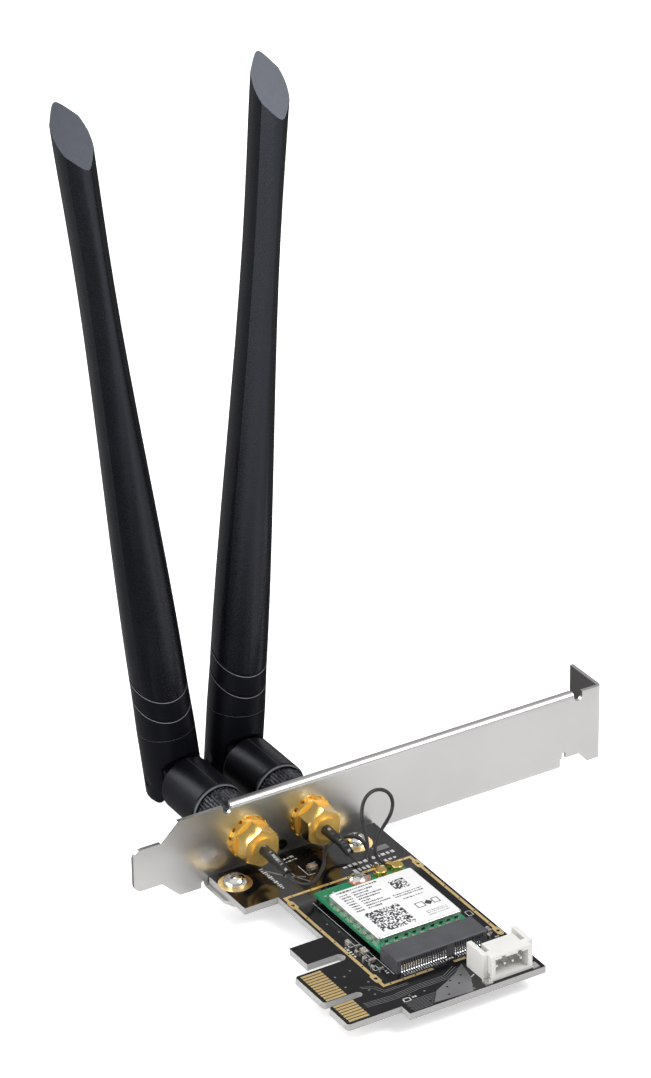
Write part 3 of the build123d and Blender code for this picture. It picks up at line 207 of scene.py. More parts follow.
def runs(points, width):
    """Straight film runs along a line of points: the middle, half length and direction of each step."""
    p = np.asarray(points, float)
    step = np.diff(p, axis=0)
    half = np.hypot(step[:, 0], step[:, 1]) / 2 + width / 2
    turn = np.arctan2(step[:, 1], step[:, 0])
    return np.column_stack([(p[1:] + p[:-1]) / 2, half, np.full(len(half), width / 2), turn])


def outline(x, y, long, wide, width=0.14):
    """Four runs round a rectangle."""
    a, b = long / 2, wide / 2
    return runs([(x - a, y - b), (x + a, y - b), (x + a, y + b), (x - a, y + b), (x - a, y - b)], width)


def bars(rng, start, end, tall, short=0.3, long=0.9, gap=0.28):
    """A row of plain bars from start to end, of random lengths and heights, in place of a line of print."""
    start, end = np.array(start, float), np.array(end, float)
    span = np.hypot(*(end - start))
    lengths = rng.uniform(short, long, int(span / (short + gap)) + 1)
    stops = np.cumsum(lengths + gap)
    lengths, stops = lengths[stops < span], stops[stops < span]
    along = (stops - gap - lengths / 2) / span
    middle = start + np.outer(along, end - start)
    turn = np.full(len(along), np.arctan2(*(end - start)[::-1]))
    return np.column_stack([middle, lengths / 2, tall / 2 * rng.choice((0.5, 0.75, 1.0), len(along)), turn])


rng = np.random.default_rng(7)
covered, tree, shader = new_finish("mask_over_copper", (0.14, 0.14, 0.145), 0.3, 0.0, 0.4)
mottle(tree, shader, 0.004, (0.13, 0.13, 0.135), (0.15, 0.15, 0.156))
relief(tree, shader, grain(tree, 0.0006), 0.000004, 0.5)
tracks = []
for k in range(4):
    d = 0.5 * k
    bend = [(7.2, -3.6 - d), (14.0, -4.1 - d), (20.0, -3.4 - d)]
    bend += [(26.8 + 0.3 * d, -3.5 - d), (30.2 + d, -1.5 - d)]
    tracks.append(runs(bend, 0.13))
for k in range(2):
    d = 0.5 * k
    bend = [(9.8, 2.0 - d), (12.4 - d, 0.8 - d), (13.6 - d, -1.7 - d), (19.0, -1.7 - d)]
    tracks.append(runs(bend, 0.13))
for k in range(9):
    y = -7.8 - 0.44 * k
    tracks.append(runs([(14.4 + 0.25 * (k % 3), y), (22.5 + 0.8 * (y + 7.2), y)], 0.12))
tracks.append(runs([(16.2, 52.0), (19.4, 47.0), (22.4, 45.2)], 0.5))
tracks.append(runs([(20.4, 52.6), (20.8, 46.0), (22.4, 43.0)], 0.35))
film("board_tracks", corners_of(np.concatenate(tracks)), 0.0, covered)
fields = [
    [(19.8, -11.0), (28.9, -11.7), (28.75, -4.5), (22.5, -7.5)],
    [(28.9, -11.7), (31.3, -7.0), (32.4, -1.6), (28.75, -4.5)],
    [(40.6, 45.6), (44.2, 45.6), (44.2, 47.4), (40.6, 47.4)],
]
FIELD = 0.02
film("board_fields", fields, 0.0, covered, FIELD)

BOARD = 1.6
UNDER = -BOARD - FILM
under = []
for k in range(5):
    x, y = 16.4 + 1.5 * k, 1.2 * k
    under.append(runs([(x, 47.0 - k), (x, 24.0 + y), (26.0 + k, 14.5 + y)], 0.16))
for k in range(3):
    y = -6.2 - 0.5 * k
    under.append(runs([(8.4 + 1.0 * k, -3.6), (13.6, y), (36.0, y), (39.4, -4.0)], 0.14))
for k in (0.0, 1.0, 2.0):
    under.append(runs([(10.2, 2.0 + k), (20.0, 3.2 + k), (30.0, 8.0 + k), (30.0, 34.0)], 0.16))
film("under_tracks", corners_of(np.concatenate(under)), UNDER, covered)

ink, tree, shader = new_finish("white_ink", (0.62, 0.62, 0.61), 0.55, 0.0, 0.3)
mottle(tree, shader, 0.0008, (0.66, 0.66, 0.65), (0.50, 0.50, 0.49))
marks = [
    bars(rng, (15.9, 53.0), (16.2, 42.9), 0.95, 0.3, 0.55, 0.32),
    bars(rng, (21.4, 53.5), (25.4, 53.9), 0.75),
    bars(rng, (21.9, 52.3), (25.2, 52.6), 0.55),
    bars(rng, (31.2, 43.7), (45.0, 44.0), 1.25, 0.5, 1.0, 0.42),
    bars(rng, (32.4, 41.3), (44.2, 41.6), 1.25, 0.5, 1.0, 0.42),
    runs([(23.4, 49.6), (23.4, 45.2), (25.0, 45.2)], 0.16),
    runs([(27.4, 49.2), (25.6, 49.2)], 0.16),
    runs([(18.45, 35.2), (18.45, 2.6)], 0.16),
    bars(rng, (15.1, 16.6), (15.1, 11.4), 0.7, 0.3, 0.6, 0.5),
    outline(16.6, 17.0, 1.2, 1.9),
    outline(16.9, 10.6, 1.3, 2.0),
    outline(16.3, 6.6, 1.1, 1.8),
    bars(rng, (17.6, 5.4), (17.6, 2.6), 0.6, 0.3, 0.5, 0.4),
    outline(44.3, 13.9, 1.2, 1.8),
    bars(rng, (43.2, 12.0), (43.2, 9.0), 0.7, 0.3, 0.6, 0.4),
    outline(43.6, 6.0, 1.5, 2.2),
    bars(rng, (30.6, 1.35), (33.0, 1.35), 0.6, 0.3, 0.5, 0.2),
    outline(15.6, -7.1, 1.5, 1.2, 0.24),
    bars(rng, (17.0, -6.9), (18.2, -6.9), 0.7, 0.3, 0.4, 0.2),
    runs([(31.5, -6.9), (32.3, -6.5)], 0.3),
    runs([(21.4, 0.9), (22.6, 0.9)], 0.14),
]
film("board_marks", corners_of(np.concatenate(marks)), 0.0, ink)
under_marks = [
    outline(38.0, 20.0, 9.0, 6.0, 0.2),
    bars(rng, (34.4, 21.0), (41.4, 21.0), 1.0),
    bars(rng, (34.4, 18.8), (39.4, 18.8), 1.0),
    bars(rng, (20.0, 40.0), (27.0, 40.0), 0.9),
    bars(rng, (34.0, -1.0), (43.0, -1.0), 0.8),
]
film("under_marks", corners_of(np.concatenate(under_marks)), UNDER, ink)

# Gold plate: the edge contacts, guard strip and screw rings on the board, the jacks and their washers and nuts,
# the push-on plugs and the receptacles. Flash gold over nickel, polished on turned pieces, with faced ends that
# keep the matt rings of the tool.


def gold_plate(name, faced):
    """Polished gold plate. Faces towards the board's front are rougher by faced, as a lathe leaves them."""
    mat, tree, shader = new_finish(name, (0.98, 0.77, 0.35), 0.16, 1.0)
    tint = grain(tree, 0.0016, 3.0)
    shade = blend_colour(tree, spread(tree, tint, 0.0, 1.0), (1.0, 0.73, 0.26), (0.90, 0.60, 0.17))
    tree.links.new(shade, shader.inputs["Base Color"])
    both = tree.nodes.new("ShaderNodeMath")
    both.operation = "ADD"
    tree.links.new(spread(tree, tint, 0.12, 0.22), both.inputs[0])
    tree.links.new(spread(tree, normal_part(tree, "Y"), faced, 0.0, -0.95, -0.85), both.inputs[1])
    tree.links.new(both.outputs[0], shader.inputs["Roughness"])
    relief(tree, shader, grain(tree, 0.00025, 2.0), 0.000001, 0.5)
    return mat


gold = gold_plate("gold_plate", 0.1)
turned_gold = gold_plate("turned_gold", 0.36)
dress(gold, "jack_washers", "panel_nuts", "module_receptacles")
for side in ("left", "right"):
    dress(turned_gold, "jack_body_" + side)
    dress(gold, "jack_pin_" + side, "crimp_ferrule_" + side, "cable_plug_" + side)
    dress(gold, "coupling_nut_" + side, "plug_body_" + side, "plug_contact_" + side)

flash, tree, shader = new_finish("flash_gold", (0.90, 0.68, 0.33), 0.42, 1.0)
rub = grain(tree, 0.0008, 3.0, (0.3, 1.0, 1.0))
tree.links.new(
    blend_colour(tree, spread(tree, rub, 0.0, 1.0), (0.95, 0.74, 0.38), (0.84, 0.62, 0.28)),
    shader.inputs["Base Color"],
)
tree.links.new(spread(tree, rub, 0.36, 0.48), shader.inputs["Roughness"])
relief(tree, shader, rub, 0.000004, 0.6)
dress(flash, "edge_contacts", "plated_pads")

# Plated holes: small bores, drilled and plated through, that tie the guard strip and the tracks to the copper
# inside the board. They are dark where the mask fills them, and gold on the underside.
PAD_TOP = 0.05


def discs(name, centres, radius, bottom, mat):
    """Flat round films: each centre gives a ring of 12 points, a twelfth of a turn apart, below and above."""
    centres = np.asarray(centres, float)
    count = 12
    i = np.arange(count)
    turn = 2 * np.pi * i / count
    ring = radius * np.stack([np.cos(turn), np.sin(turn)], 1)
    flat = centres[:, None, :] + ring[None]
    low = np.concatenate([flat, np.full((*flat.shape[:2], 1), bottom)], 2)
    high = low + np.array([0.0, 0.0, FILM])
    points = np.concatenate([low, high], 1).reshape(-1, 3)
    first = 2 * count * np.arange(len(centres))[:, None]
    after = (i + 1) % count
    sides = np.stack([i, after, after + count, i + count], 1)
    faces = (first[..., None] + sides[None]).reshape(-1, 4).tolist()
    faces += (first + i[None, ::-1]).tolist() + (first + count + i[None]).tolist()
    lay(name, points, faces, mat)


strip_low, strip_high, strip_rear, strip_front = 14.3, 45.75, 39.85, -0.15
along_low = np.column_stack([np.full(7, strip_low), np.linspace(36.2, 2.8, 7)])
along_high = np.column_stack([np.full(6, strip_high), np.linspace(37.4, 8.4, 6)])
along_rear = np.column_stack([np.linspace(16.0, 44.0, 7), np.full(7, strip_rear)])
along_front = np.column_stack([np.linspace(16.0, 25.0, 4), np.full(4, strip_front)])
strip_holes = np.concatenate([along_low, along_high, along_rear, along_front])
discs("strip_holes", strip_holes, 0.2, PAD_TOP, smoke)
board_holes = [(11.3, 8.5), (9.2, 7.2), (12.4, 2.9), (11.1, -1.8), (7.4, 8.0), (10.9, 0.2), (7.3, 3.6)]
board_holes += [(17.2, 22.5), (16.6, 26.4), (30.0, -9.4), (29.6, -10.9), (16.9, -6.0), (20.4, -6.2)]
discs("board_holes", board_holes, 0.26, 0.0, covered)
field_holes = [(26.9, -5.9), (29.9, -5.2), (24.0, -10.0), (19.5, -10.1), (25.2, -7.4), (28.0, -7.6)]
discs("field_holes", field_holes, 0.26, FIELD, smoke)
under_holes = [(16.4 + 1.5 * k, 47.6 - k) for k in range(5)]
under_holes += [(26.4 + k, 14.2 + 1.2 * k) for k in range(5)]
under_holes += [(30.0, 34.6), (28.4, 33.0), (33.0, 33.6), (12.0, 4.6)]
under_holes += [(40.0, -4.2), (43.4, 30.0), (43.4, 34.0)]
discs("under_holes", under_holes, 0.3, UNDER, flash)

# Socket: one black moulding of heat-proof plastic with a fine matt skin, its spring leads tinned.
# The leads come out through a comb of slots and are soldered to the board.
moulding, tree, shader = new_finish("socket_moulding", (0.05, 0.052, 0.058), 0.5, 0.0, 0.3)
skin = grain(tree, 0.00018, 3.0)
mottle(tree, shader, 0.004, (0.058, 0.061, 0.069), (0.076, 0.079, 0.088))
tree.links.new(spread(tree, skin, 0.42, 0.58), shader.inputs["Roughness"])
relief(tree, shader, skin, 0.00001, 0.7)
dress(moulding, "module_socket", "radio_chip")

tin, tree, shader = new_finish("bright_tin", (0.76, 0.76, 0.76), 0.3, 1.0)
crystal = grain(tree, 0.0005, 3.0)
tree.links.new(spread(tree, crystal, 0.2, 0.42), shader.inputs["Roughness"])
relief(tree, shader, crystal, 0.000008, 0.6)
dress(tin, "socket_leads", "header_pins", "header_anchors", "surface_part_ends")

can_plate, tree, shader = new_finish("can_plate", (0.72, 0.71, 0.70), 0.3, 1.0)
tree.links.new(spread(tree, grain(tree, 0.004), 0.27, 0.34), shader.inputs["Roughness"])
relief(tree, shader, grain(tree, 0.002), 0.00001, 0.5)
dress(can_plate, "shield_can")

# Module: a thin board under green mask, with tinned pads along its margins, a pressed can over its chips and a
# paper label on the can. The label carries plain generic print: rows of bars and a field of dark cells.
green, tree, shader = new_finish("green_mask", (0.012, 0.19, 0.085), 0.26, 0.0, 0.4)
mottle(tree, shader, 0.003, (0.008, 0.16, 0.07), (0.014, 0.22, 0.10))
relief(tree, shader, grain(tree, 0.0005), 0.00001, 0.6)
dress(green, "module_board")

MODULE_TOP = 2.1
pad_row = ((21.8, 0.3), (24.2, 0.5), (25.9, 0.2), (27.7, 0.3), (30.6, 0.5))
pads = [(x, 9.0, half, 0.2, 0.0) for x, half in pad_row]
pads += [(33.2, 9.0, 0.2, 0.24, 0.0), (35.6, 9.0, 0.4, 0.2, 0.0), (38.5, 9.0, 0.3, 0.24, 0.0)]
pads += [(20.4, 33.2, 0.3, 0.2, 0.0), (22.6, 33.6, 0.2, 0.3, 0.0), (24.4, 33.0, 0.3, 0.2, 0.0)]
film("module_pads", corners_of(pads), MODULE_TOP, tin)
# Dark films of smoked lens fill the can's slots: painted shade inside the can.
slots = [(x, 11.06, 0.4, 0.03, 0.0) for x in (21.9, 24.4, 26.8, 28.8, 31.0, 33.3, 35.4, 37.2, 39.2)]
film("can_slot_shade", corners_of(slots), MODULE_TOP, smoke, 0.4)

copper, tree, shader = new_finish("bare_copper", (0.80, 0.40, 0.28), 0.3, 1.0)
dull = grain(tree, 0.0007, 3.0)
tree.links.new(
    blend_colour(tree, spread(tree, dull, 0.0, 1.0), (0.88, 0.50, 0.38), (0.72, 0.36, 0.25)),
    shader.inputs["Base Color"],
)
tree.links.new(spread(tree, dull, 0.25, 0.42), shader.inputs["Roughness"])
dress(copper, "module_ground_pad", "radiator_left", "radiator_right")

paper, tree, shader = new_finish("label_stock", (0.80, 0.80, 0.80), 0.45, 0.0, 0.3)
mottle(tree, shader, 0.006, (0.82, 0.82, 0.82), (0.77, 0.77, 0.775))
relief(tree, shader, grain(tree, 0.0004), 0.000004, 0.5)
dress(paper, "module_label")

LABEL_TOP = 3.55
black, tree, shader = new_finish("black_print", (0.03, 0.03, 0.033), 0.5, 0.0, 0.3)
mottle(tree, shader, 0.0006, (0.025, 0.025, 0.028), (0.06, 0.06, 0.064))
pitch = 0.33


def cell_block(rng, x, y, count):
    """A square field of dark cells, each cell filled or left by chance."""
    row, column = np.nonzero(rng.random((count, count)) < 0.52)
    half = np.full(len(row), pitch / 2)
    return np.column_stack([x + pitch * column, y + pitch * row, half, half, np.zeros(len(row))])


prints = [cell_block(rng, 22.5, 12.7, 25), cell_block(rng, 33.4, 25.4, 11)]
prints.append(bars(rng, (21.4, 30.5), (31.6, 30.5), 0.5, 0.3, 0.8, 0.16))
for y, far in zip(np.linspace(29.3, 22.3, 8), (30.2, 28.4, 31.0, 30.0, 27.2, 29.6, 30.6, 28.0)):
    prints.append(bars(rng, (21.5, y), (23.9, y), 0.5, 0.3, 0.5, 0.1))
    prints.append(bars(rng, (24.5, y), (far, y), 0.48, 0.25, 0.5, 0.1))
prints += [bars(rng, (31.4, y), (38.6, y), 0.4, 0.25, 0.5, 0.14) for y in (23.6, 22.8)]
prints.append(bars(rng, (32.6, 21.4), (38.2, 21.4), 0.34, 0.3, 0.7, 0.2))
prints += [outline(34.4, 17.6, 1.8, 1.8, 0.2), outline(38.2, 17.6, 1.4, 1.8, 0.2)]
prints.append(np.array([(36.4, 17.6, 0.7, 0.7, 0.785)]))
prints += [bars(rng, (34.0, y), (39.4, y), 0.2, 0.2, 0.5, 0.14) for y in (14.6, 14.0, 13.2)]
film("label_print", corners_of(np.concatenate(prints)), LABEL_TOP, black)

ceramic, tree, shader = new_finish("part_ceramic", (0.30, 0.24, 0.18), 0.4)
mottle(tree, shader, 0.002, (0.42, 0.36, 0.28), (0.16, 0.13, 0.11))
dress(ceramic, "module_parts", "surface_parts")

# Header: an off-white nylon box for a four-way plug, open to the board's front edge, with a wing each side.
# It is moulded in one piece, and its pins and anchors are soldered down. The jacks' insulators are white too.
nylon, tree, shader = new_finish("white_nylon", (0.70, 0.69, 0.67), 0.42, 0.0, 0.35)
mottle(tree, shader, 0.004, (0.72, 0.71, 0.69), (0.67, 0.66, 0.63))
relief(tree, shader, grain(tree, 0.0002), 0.00001, 0.5)
dress(nylon, "header_housing")

white, tree, shader = new_finish("white_insulator", (0.80, 0.80, 0.78), 0.4)
relief(tree, shader, grain(tree, 0.0003), 0.00001, 0.5)
for side in ("left", "right"):
    dress(white, "jack_insulator_" + side, "plug_insulator_" + side)

# Shrink sleeves: black heat-shrunk tube over each jack's crimp, satin, with a line of faint pale dashes.
# The tube is drawn tight by hot air, so its skin keeps shallow waves.
JACKS = {"left": 0.01515, "right": 0.0307}
DASHES_ASIDE, DASHES_HALF = 0.00025, 0.0003


def along(tree, value, direction, offset):
    """Distance of a vector along a direction, less an offset."""
    node = tree.nodes.new("ShaderNodeVectorMath")
    node.operation = "DOT_PRODUCT"
    node.inputs[1].default_value = direction
    tree.links.new(value, node.inputs[0])
    less = tree.nodes.new("ShaderNodeMath")
    less.operation = "SUBTRACT"
    less.inputs[1].default_value = offset
    tree.links.new(node.outputs["Value"], less.inputs[0])
    return less.outputs[0]


def larger(tree, first, second):
    """The larger of two values."""
    node = tree.nodes.new("ShaderNodeMath")
    node.operation = "MAXIMUM"
    tree.links.new(first, node.inputs[0])
    tree.links.new(second, node.inputs[1])
    return node.outputs[0]


def near_zero(tree, value, half):
    """1 where a value is within half of zero, else 0."""
    node = tree.nodes.new("ShaderNodeMath")
    node.operation = "COMPARE"
    node.inputs[1].default_value = 0.0
    node.inputs[2].default_value = half
    tree.links.new(value, node.inputs[0])
    return node.outputs[0]


shrunk, tree, shader = new_finish("shrink_tube", (0.012, 0.012, 0.013), 0.36, 0.0, 0.35)
lines = []
for jack_x in JACKS.values():
    aside = along(tree, place(tree), (1.0, 0.0, 0.0), jack_x - DASHES_ASIDE)
    lines.append(near_zero(tree, aside, DASHES_HALF))
broken = grain(tree, 0.0009, 1.0, (0.2, 1.0, 0.2))
dash = tree.nodes.new("ShaderNodeMath")
dash.operation = "MULTIPLY"
tree.links.new(larger(tree, *lines), dash.inputs[0])
tree.links.new(spread(tree, broken, 0.0, 0.7, 0.55, 0.6), dash.inputs[1])
tree.links.new(
    blend_colour(tree, dash.outputs[0], (0.012, 0.012, 0.013), (0.42, 0.42, 0.41)),
    shader.inputs["Base Color"],
)
relief(tree, shader, grain(tree, 0.0007), 0.00003, 0.6)
dress(shrunk, "shrink_sleeve_left", "shrink_sleeve_right")

# Leads: thin black coaxial leads from each jack to its push-on plug on the module. They are limp, and the
# spare length of the right one stands up in a loop.
LEAD = 0.00081
jacket, tree, shader = new_finish("lead_jacket", (0.022, 0.022, 0.024), 0.4, 0.0, 0.35)
mottle(tree, shader, 0.003, (0.018, 0.018, 0.020), (0.032, 0.032, 0.034))
relief(tree, shader, grain(tree, 0.0005), 0.00002, 0.6)


def lead_curve(name, points_mm, thick):
    """A round lead on a smooth spline with the route's points as its control points."""
    line = bpy.data.curves.new(name, "CURVE")
    line.dimensions = "3D"
    line.bevel_depth = thick / 2
    line.bevel_resolution = 4
    line.resolution_u = 12
    line.use_fill_caps = True
    spline = line.splines.new("NURBS")
    spline.points.add(len(points_mm) - 1)
    route = np.ones((len(points_mm), 4))
    route[:, :3] = np.array(points_mm) / 1000
    spline.points.foreach_set("co", route.ravel())
    spline.order_u = 3
    spline.use_endpoint_u = True
    lead = bpy.data.objects.new(name, line)
    bpy.context.scene.collection.objects.link(lead)
    line.materials.append(jacket)
    return lead


left_route = [
    (15.15, 40.05, 5.80), (15.15, 38.55, 5.22), (16.13, 37.15, 4.55), (17.73, 36.60, 4.00),
    (19.57, 37.10, 3.50), (21.70, 38.90, 3.10), (24.00, 41.00, 2.80), (26.40, 43.70, 2.50),
    (28.20, 46.60, 2.79), (30.30, 48.80, 3.20), (33.00, 49.85, 3.45), (35.70, 49.30, 3.75),
    (37.30, 47.20, 3.95), (37.20, 44.50, 3.80), (36.30, 41.80, 3.40), (35.30, 39.30, 3.05),
    (34.90, 36.78, 2.85),
]
right_route = [
    (30.70, 40.05, 5.80), (30.70, 38.65, 5.26), (31.25, 37.30, 5.30), (32.10, 36.45, 6.10),
    (32.75, 36.15, 7.55), (32.95, 36.40, 9.50), (32.80, 37.00, 11.80), (32.60, 37.90, 14.40),
    (33.10, 38.90, 16.90), (34.60, 39.80, 18.70), (37.00, 40.40, 19.40), (39.50, 40.60, 18.70),
    (41.30, 40.60, 17.00), (42.00, 40.45, 14.70), (41.30, 40.10, 12.50), (39.70, 39.70, 10.80),
    (37.90, 39.30, 9.30), (36.50, 38.90, 7.40), (36.00, 38.50, 5.40), (36.30, 37.95, 3.85),
    (36.90, 37.19, 2.99), (37.52, 36.31, 2.85),
]
for side, route, length in (("left", left_route, 0.0415), ("right", right_route, 0.043)):
    lead = lead_curve("pigtail_" + side, route, LEAD)
    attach(lead, "card")
    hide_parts("coax_lead_" + side)

# Antennas: black mouldings with a fine matt skin. Each has a knurled sleeve on its coupling nut, an elbow, a
# fork on a hinge pin, a collar and a long whip that goes from round to a creased lens section. The saw-cut end
# of the whip is painted a lighter grey, a painted highlight, and the collar's lips, the elbow's rim and the
# elbow's real parting lines carry thin painted highlights.


def black_moulding(name, smooth, specular, bumps=0.000016):
    """Matt black plastic with a fine speckled skin. Returns the material, its tree and its shader."""
    mat, tree, shader = new_finish(name, (0.003, 0.003, 0.004), smooth, 0.0, specular)
    shader.inputs["Specular Tint"].default_value = (0.80, 0.86, 1.0, 1.0)
    fine = grain(tree, 0.0003, 3.0)
    mottle(tree, shader, 0.006, (0.0025, 0.0027, 0.0038), (0.0045, 0.0048, 0.0065))
    tree.links.new(spread(tree, fine, smooth - 0.06, smooth + 0.08), shader.inputs["Roughness"])
    relief(tree, shader, fine, bumps, 0.7)
    return mat, tree, shader


def recolour(tree, shader, share, colour):
    """Lays a second colour over the base colour where share is 1."""
    link = shader.inputs["Base Color"].links[0]
    under = link.from_socket
    tree.links.new(blend_colour(tree, share, under, colour), shader.inputs["Base Color"])


def arm_end(sign, hinge, lean):
    """One rounded end of a fork arm, as a stack of D-shaped rings that go down from start below the hinge axis
    by drop, in mm. With q the share of the drop, the half width is half (1 - q^n)^(1/n), n 3 in front and 7
    behind, and the thickness over the flat inner face is that of a cylinder of radius outer times
    (1 - q^6)^(1/6). The first ring is sunk inside the arm, so that no edge shows."""
    start, drop, half, inner, outer, sunk = 1.6, 3.4, 4.5, 4.72, 6.52, 0.05
    q = np.sin(np.linspace(0.0, 0.49 * np.pi, 14))[:, None]
    s = np.linspace(-1.0, 1.0, 19)
    v = half * s * np.where(s < 0, (1 - q**3) ** (1 / 3), (1 - q**7) ** (1 / 7))
    thick = (np.sqrt(outer**2 - v**2) - inner) * (1 - q**6) ** (1 / 6)
    u = sign * (inner + thick - sunk * (q < 0.01))
    w = -start - drop * q + 0.0 * v
    turn = np.radians(lean)
    across = np.array((np.cos(turn), 0.0, -np.sin(turn)))
    up = np.array((np.sin(turn), 0.0, np.cos(turn)))
    outward = np.array((0.0, 1.0, 0.0))
    points = u[..., None] * across + v[..., None] * outward + w[..., None] * up
    rings, count = u.shape
    i, k = np.meshgrid(np.arange(rings - 1), np.arange(count), indexing="ij")
    after, below = (k + 1) % count, (i + 1) * count
    sides = np.stack([i * count + k, i * count + after, below + after, below + k], -1).reshape(-1, 4)
    faces = sides.tolist() + [list(range(count))[::-1], list(range((rings - 1) * count, rings * count))]
    if sign > 0:
        faces = [face[::-1] for face in faces]
    curved = np.append(k.ravel() < count - 1, [False, False])
    return hinge + points.reshape(-1, 3) / 1000, faces, curved


plastic = black_moulding("antenna_moulding", 0.36, 0.18)[0]
knurl, tree, shader = black_moulding("knurl_moulding", 0.4, 0.3)
scuffed = spread(tree, grain(tree, 0.0004, 2.0, (1.0, 0.5, 1.0)), 0.0, 1.0, 0.45, 0.7)
recolour(tree, shader, scuffed, (0.09, 0.092, 0.10))
elbow, tree, shader = black_moulding("elbow_moulding", 0.36, 0.18, 0.000024)
# The elbow's rounded rim is painted as a lighter band, a painted highlight.
rim_highlight = near_zero(tree, along(tree, place(tree), (0.0, 1.0, 0.0), 0.06915), 0.00022)
recolour(tree, shader, rim_highlight, (0.12, 0.12, 0.13))
# The elbow's parting line is a real seam, painted as a faint lighter line: a painted highlight.
parting_line_highlights = []
for jack_x in JACKS.values():
    parting_line_highlights.append(near_zero(tree, along(tree, place(tree), (1.0, 0.0, 0.0), jack_x), 0.00008))
recolour(tree, shader, larger(tree, *parting_line_highlights), (0.035, 0.036, 0.042))
slant = np.radians(28.0)
for side, lean in (("left", -6.75), ("right", 4.75)):
    turn = np.radians(lean)
    hinge = np.array((JACKS[side], 0.0896, 0.0067))
    up = np.array((np.sin(turn), 0.0, np.cos(turn)))
    level = np.cos(slant) * up - np.sin(slant) * np.array((0.0, 1.0, 0.0))
    collar, tree, shader = black_moulding("collar_moulding_" + side, 0.34, 0.2)
    # Thin light lines at the collar's seam and at the lower lips of its two grooves are painted highlights.
    spot = place(tree)
    lip_highlight_masks = [near_zero(tree, along(tree, spot, up, up @ hinge + 0.01188), 0.00006)]
    for height in (0.0204, 0.0255):
        rise = level @ (hinge + height * up) - 0.00058
        lip_highlight_masks.append(near_zero(tree, along(tree, spot, level, rise), 0.00007))
    painted_lip_highlights = larger(tree, lip_highlight_masks[0], larger(tree, lip_highlight_masks[1], lip_highlight_masks[2]))
    recolour(tree, shader, painted_lip_highlights, (0.24, 0.24, 0.255))
    whip, tree, shader = black_moulding("whip_moulding_" + side, 0.26, 0.34, 0.000005)
    # The slanted saw-cut end faces up and forward into the lamps' light, and is painted lighter grey: a painted
    # highlight.
    coord = tree.nodes.new("ShaderNodeTexCoord")
    sawn = np.cos(np.radians(45.0)) * (up - np.array((0.0, 1.0, 0.0)))
    lit_cut_face = spread(tree, along(tree, coord.outputs["Normal"], sawn, 0.0), 0.0, 1.0, 0.97, 0.99)
    recolour(tree, shader, lit_cut_face, (0.015, 0.016, 0.020))
    dress(plastic, "fork_" + side, "hinge_pin_" + side)
    near_end, near_faces, near_curved = arm_end(-1.0, hinge, lean)
    far_end, far_faces, far_curved = arm_end(1.0, hinge, lean)
    mesh = bpy.data.meshes.new("fork_ends_" + side)
    shifted = [[corner + len(near_end) for corner in face] for face in far_faces]
    mesh.from_pydata(np.concatenate([near_end, far_end]).tolist(), [], near_faces + shifted)
    mesh.polygons.foreach_set("use_smooth", np.concatenate([near_curved, far_curved]))
    mesh.materials.append(plastic)
    ends = bpy.data.objects.new("fork_ends_" + side, mesh)
    bpy.context.scene.collection.objects.link(ends)
    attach(ends, "whip_" + side)
    dress(knurl, "knurled_sleeve_" + side)
    dress(elbow, "elbow_" + side)
    dress(collar, "collar_" + side)
    dress(whip, "whip_" + side)

# Stage: a plain pale floor just under the screw tips, and soft light from all round with three large lamps.
# The floor and the world are white to the eye, and the world is greyer overhead, as a studio is. In reflections
# the floor shows painted reflections of light and dark studio cards.


def flat_grid(name, half, height):
    """A level square, x and y from -half to half on a 2 by 2 grid, at one height."""
    u, v = np.meshgrid(np.linspace(-half, half, 2), np.linspace(-half, half, 2))
    points = np.stack([u.ravel(), v.ravel(), np.full(u.size, height)], 1)
    mesh = bpy.data.meshes.new(name)
    mesh.from_pydata(points.tolist(), [], [(0, 1, 3, 2)])
    obj = bpy.data.objects.new(name, mesh)
    bpy.context.scene.collection.objects.link(obj)
    return obj


def mixed(tree, share, first, second):
    """Goes from first to second as share goes from 0 to 1. Either may be a number or a socket."""
    node = tree.nodes.new("ShaderNodeMix")
    for socket, value in ((node.inputs[2], first), (node.inputs[3], second)):
        if isinstance(value, float):
            socket.default_value = value
        else:
            tree.links.new(value, socket)
    tree.links.new(share, node.inputs[0])
    return node.outputs[0]


def farther(tree, spot, near, far):
    """Goes from 0 to 1 as the length of a vector goes from near to far, in metres."""
    node = tree.nodes.new("ShaderNodeVectorMath")
    node.operation = "LENGTH"
    tree.links.new(spot, node.inputs[0])
    return spread(tree, node.outputs["Value"], 0.0, 1.0, near, far)


def ramp(tree, value, stops):
    """Grey level that follows a value through stops of value and level."""
    node = tree.nodes.new("ShaderNodeValToRGB")
    scale = node.color_ramp.elements
    for end, (at, level) in ((0, stops[0]), (1, stops[-1])):
        scale[end].position = at
        scale[end].color = (level, level, level, 1.0)
    for at, level in stops[1:-1]:
        scale.new(at).color = (level, level, level, 1.0)
    tree.links.new(value, node.inputs[0])
    return node.outputs["Color"]


floor = flat_grid("floor", 3.0, -0.0056)
pale, tree, shader = new_finish("pale_floor", (0.92, 0.92, 0.92), 0.9, 0.0, 0.0)
rays = tree.nodes.new("ShaderNodeLightPath")
glow = spread(tree, rays.outputs["Is Glossy Ray"], 0.0, 0.5, 0.0, 1.0)
tree.links.new(mixed(tree, rays.outputs["Is Camera Ray"], glow, 0.56), shader.inputs["Emission Strength"])
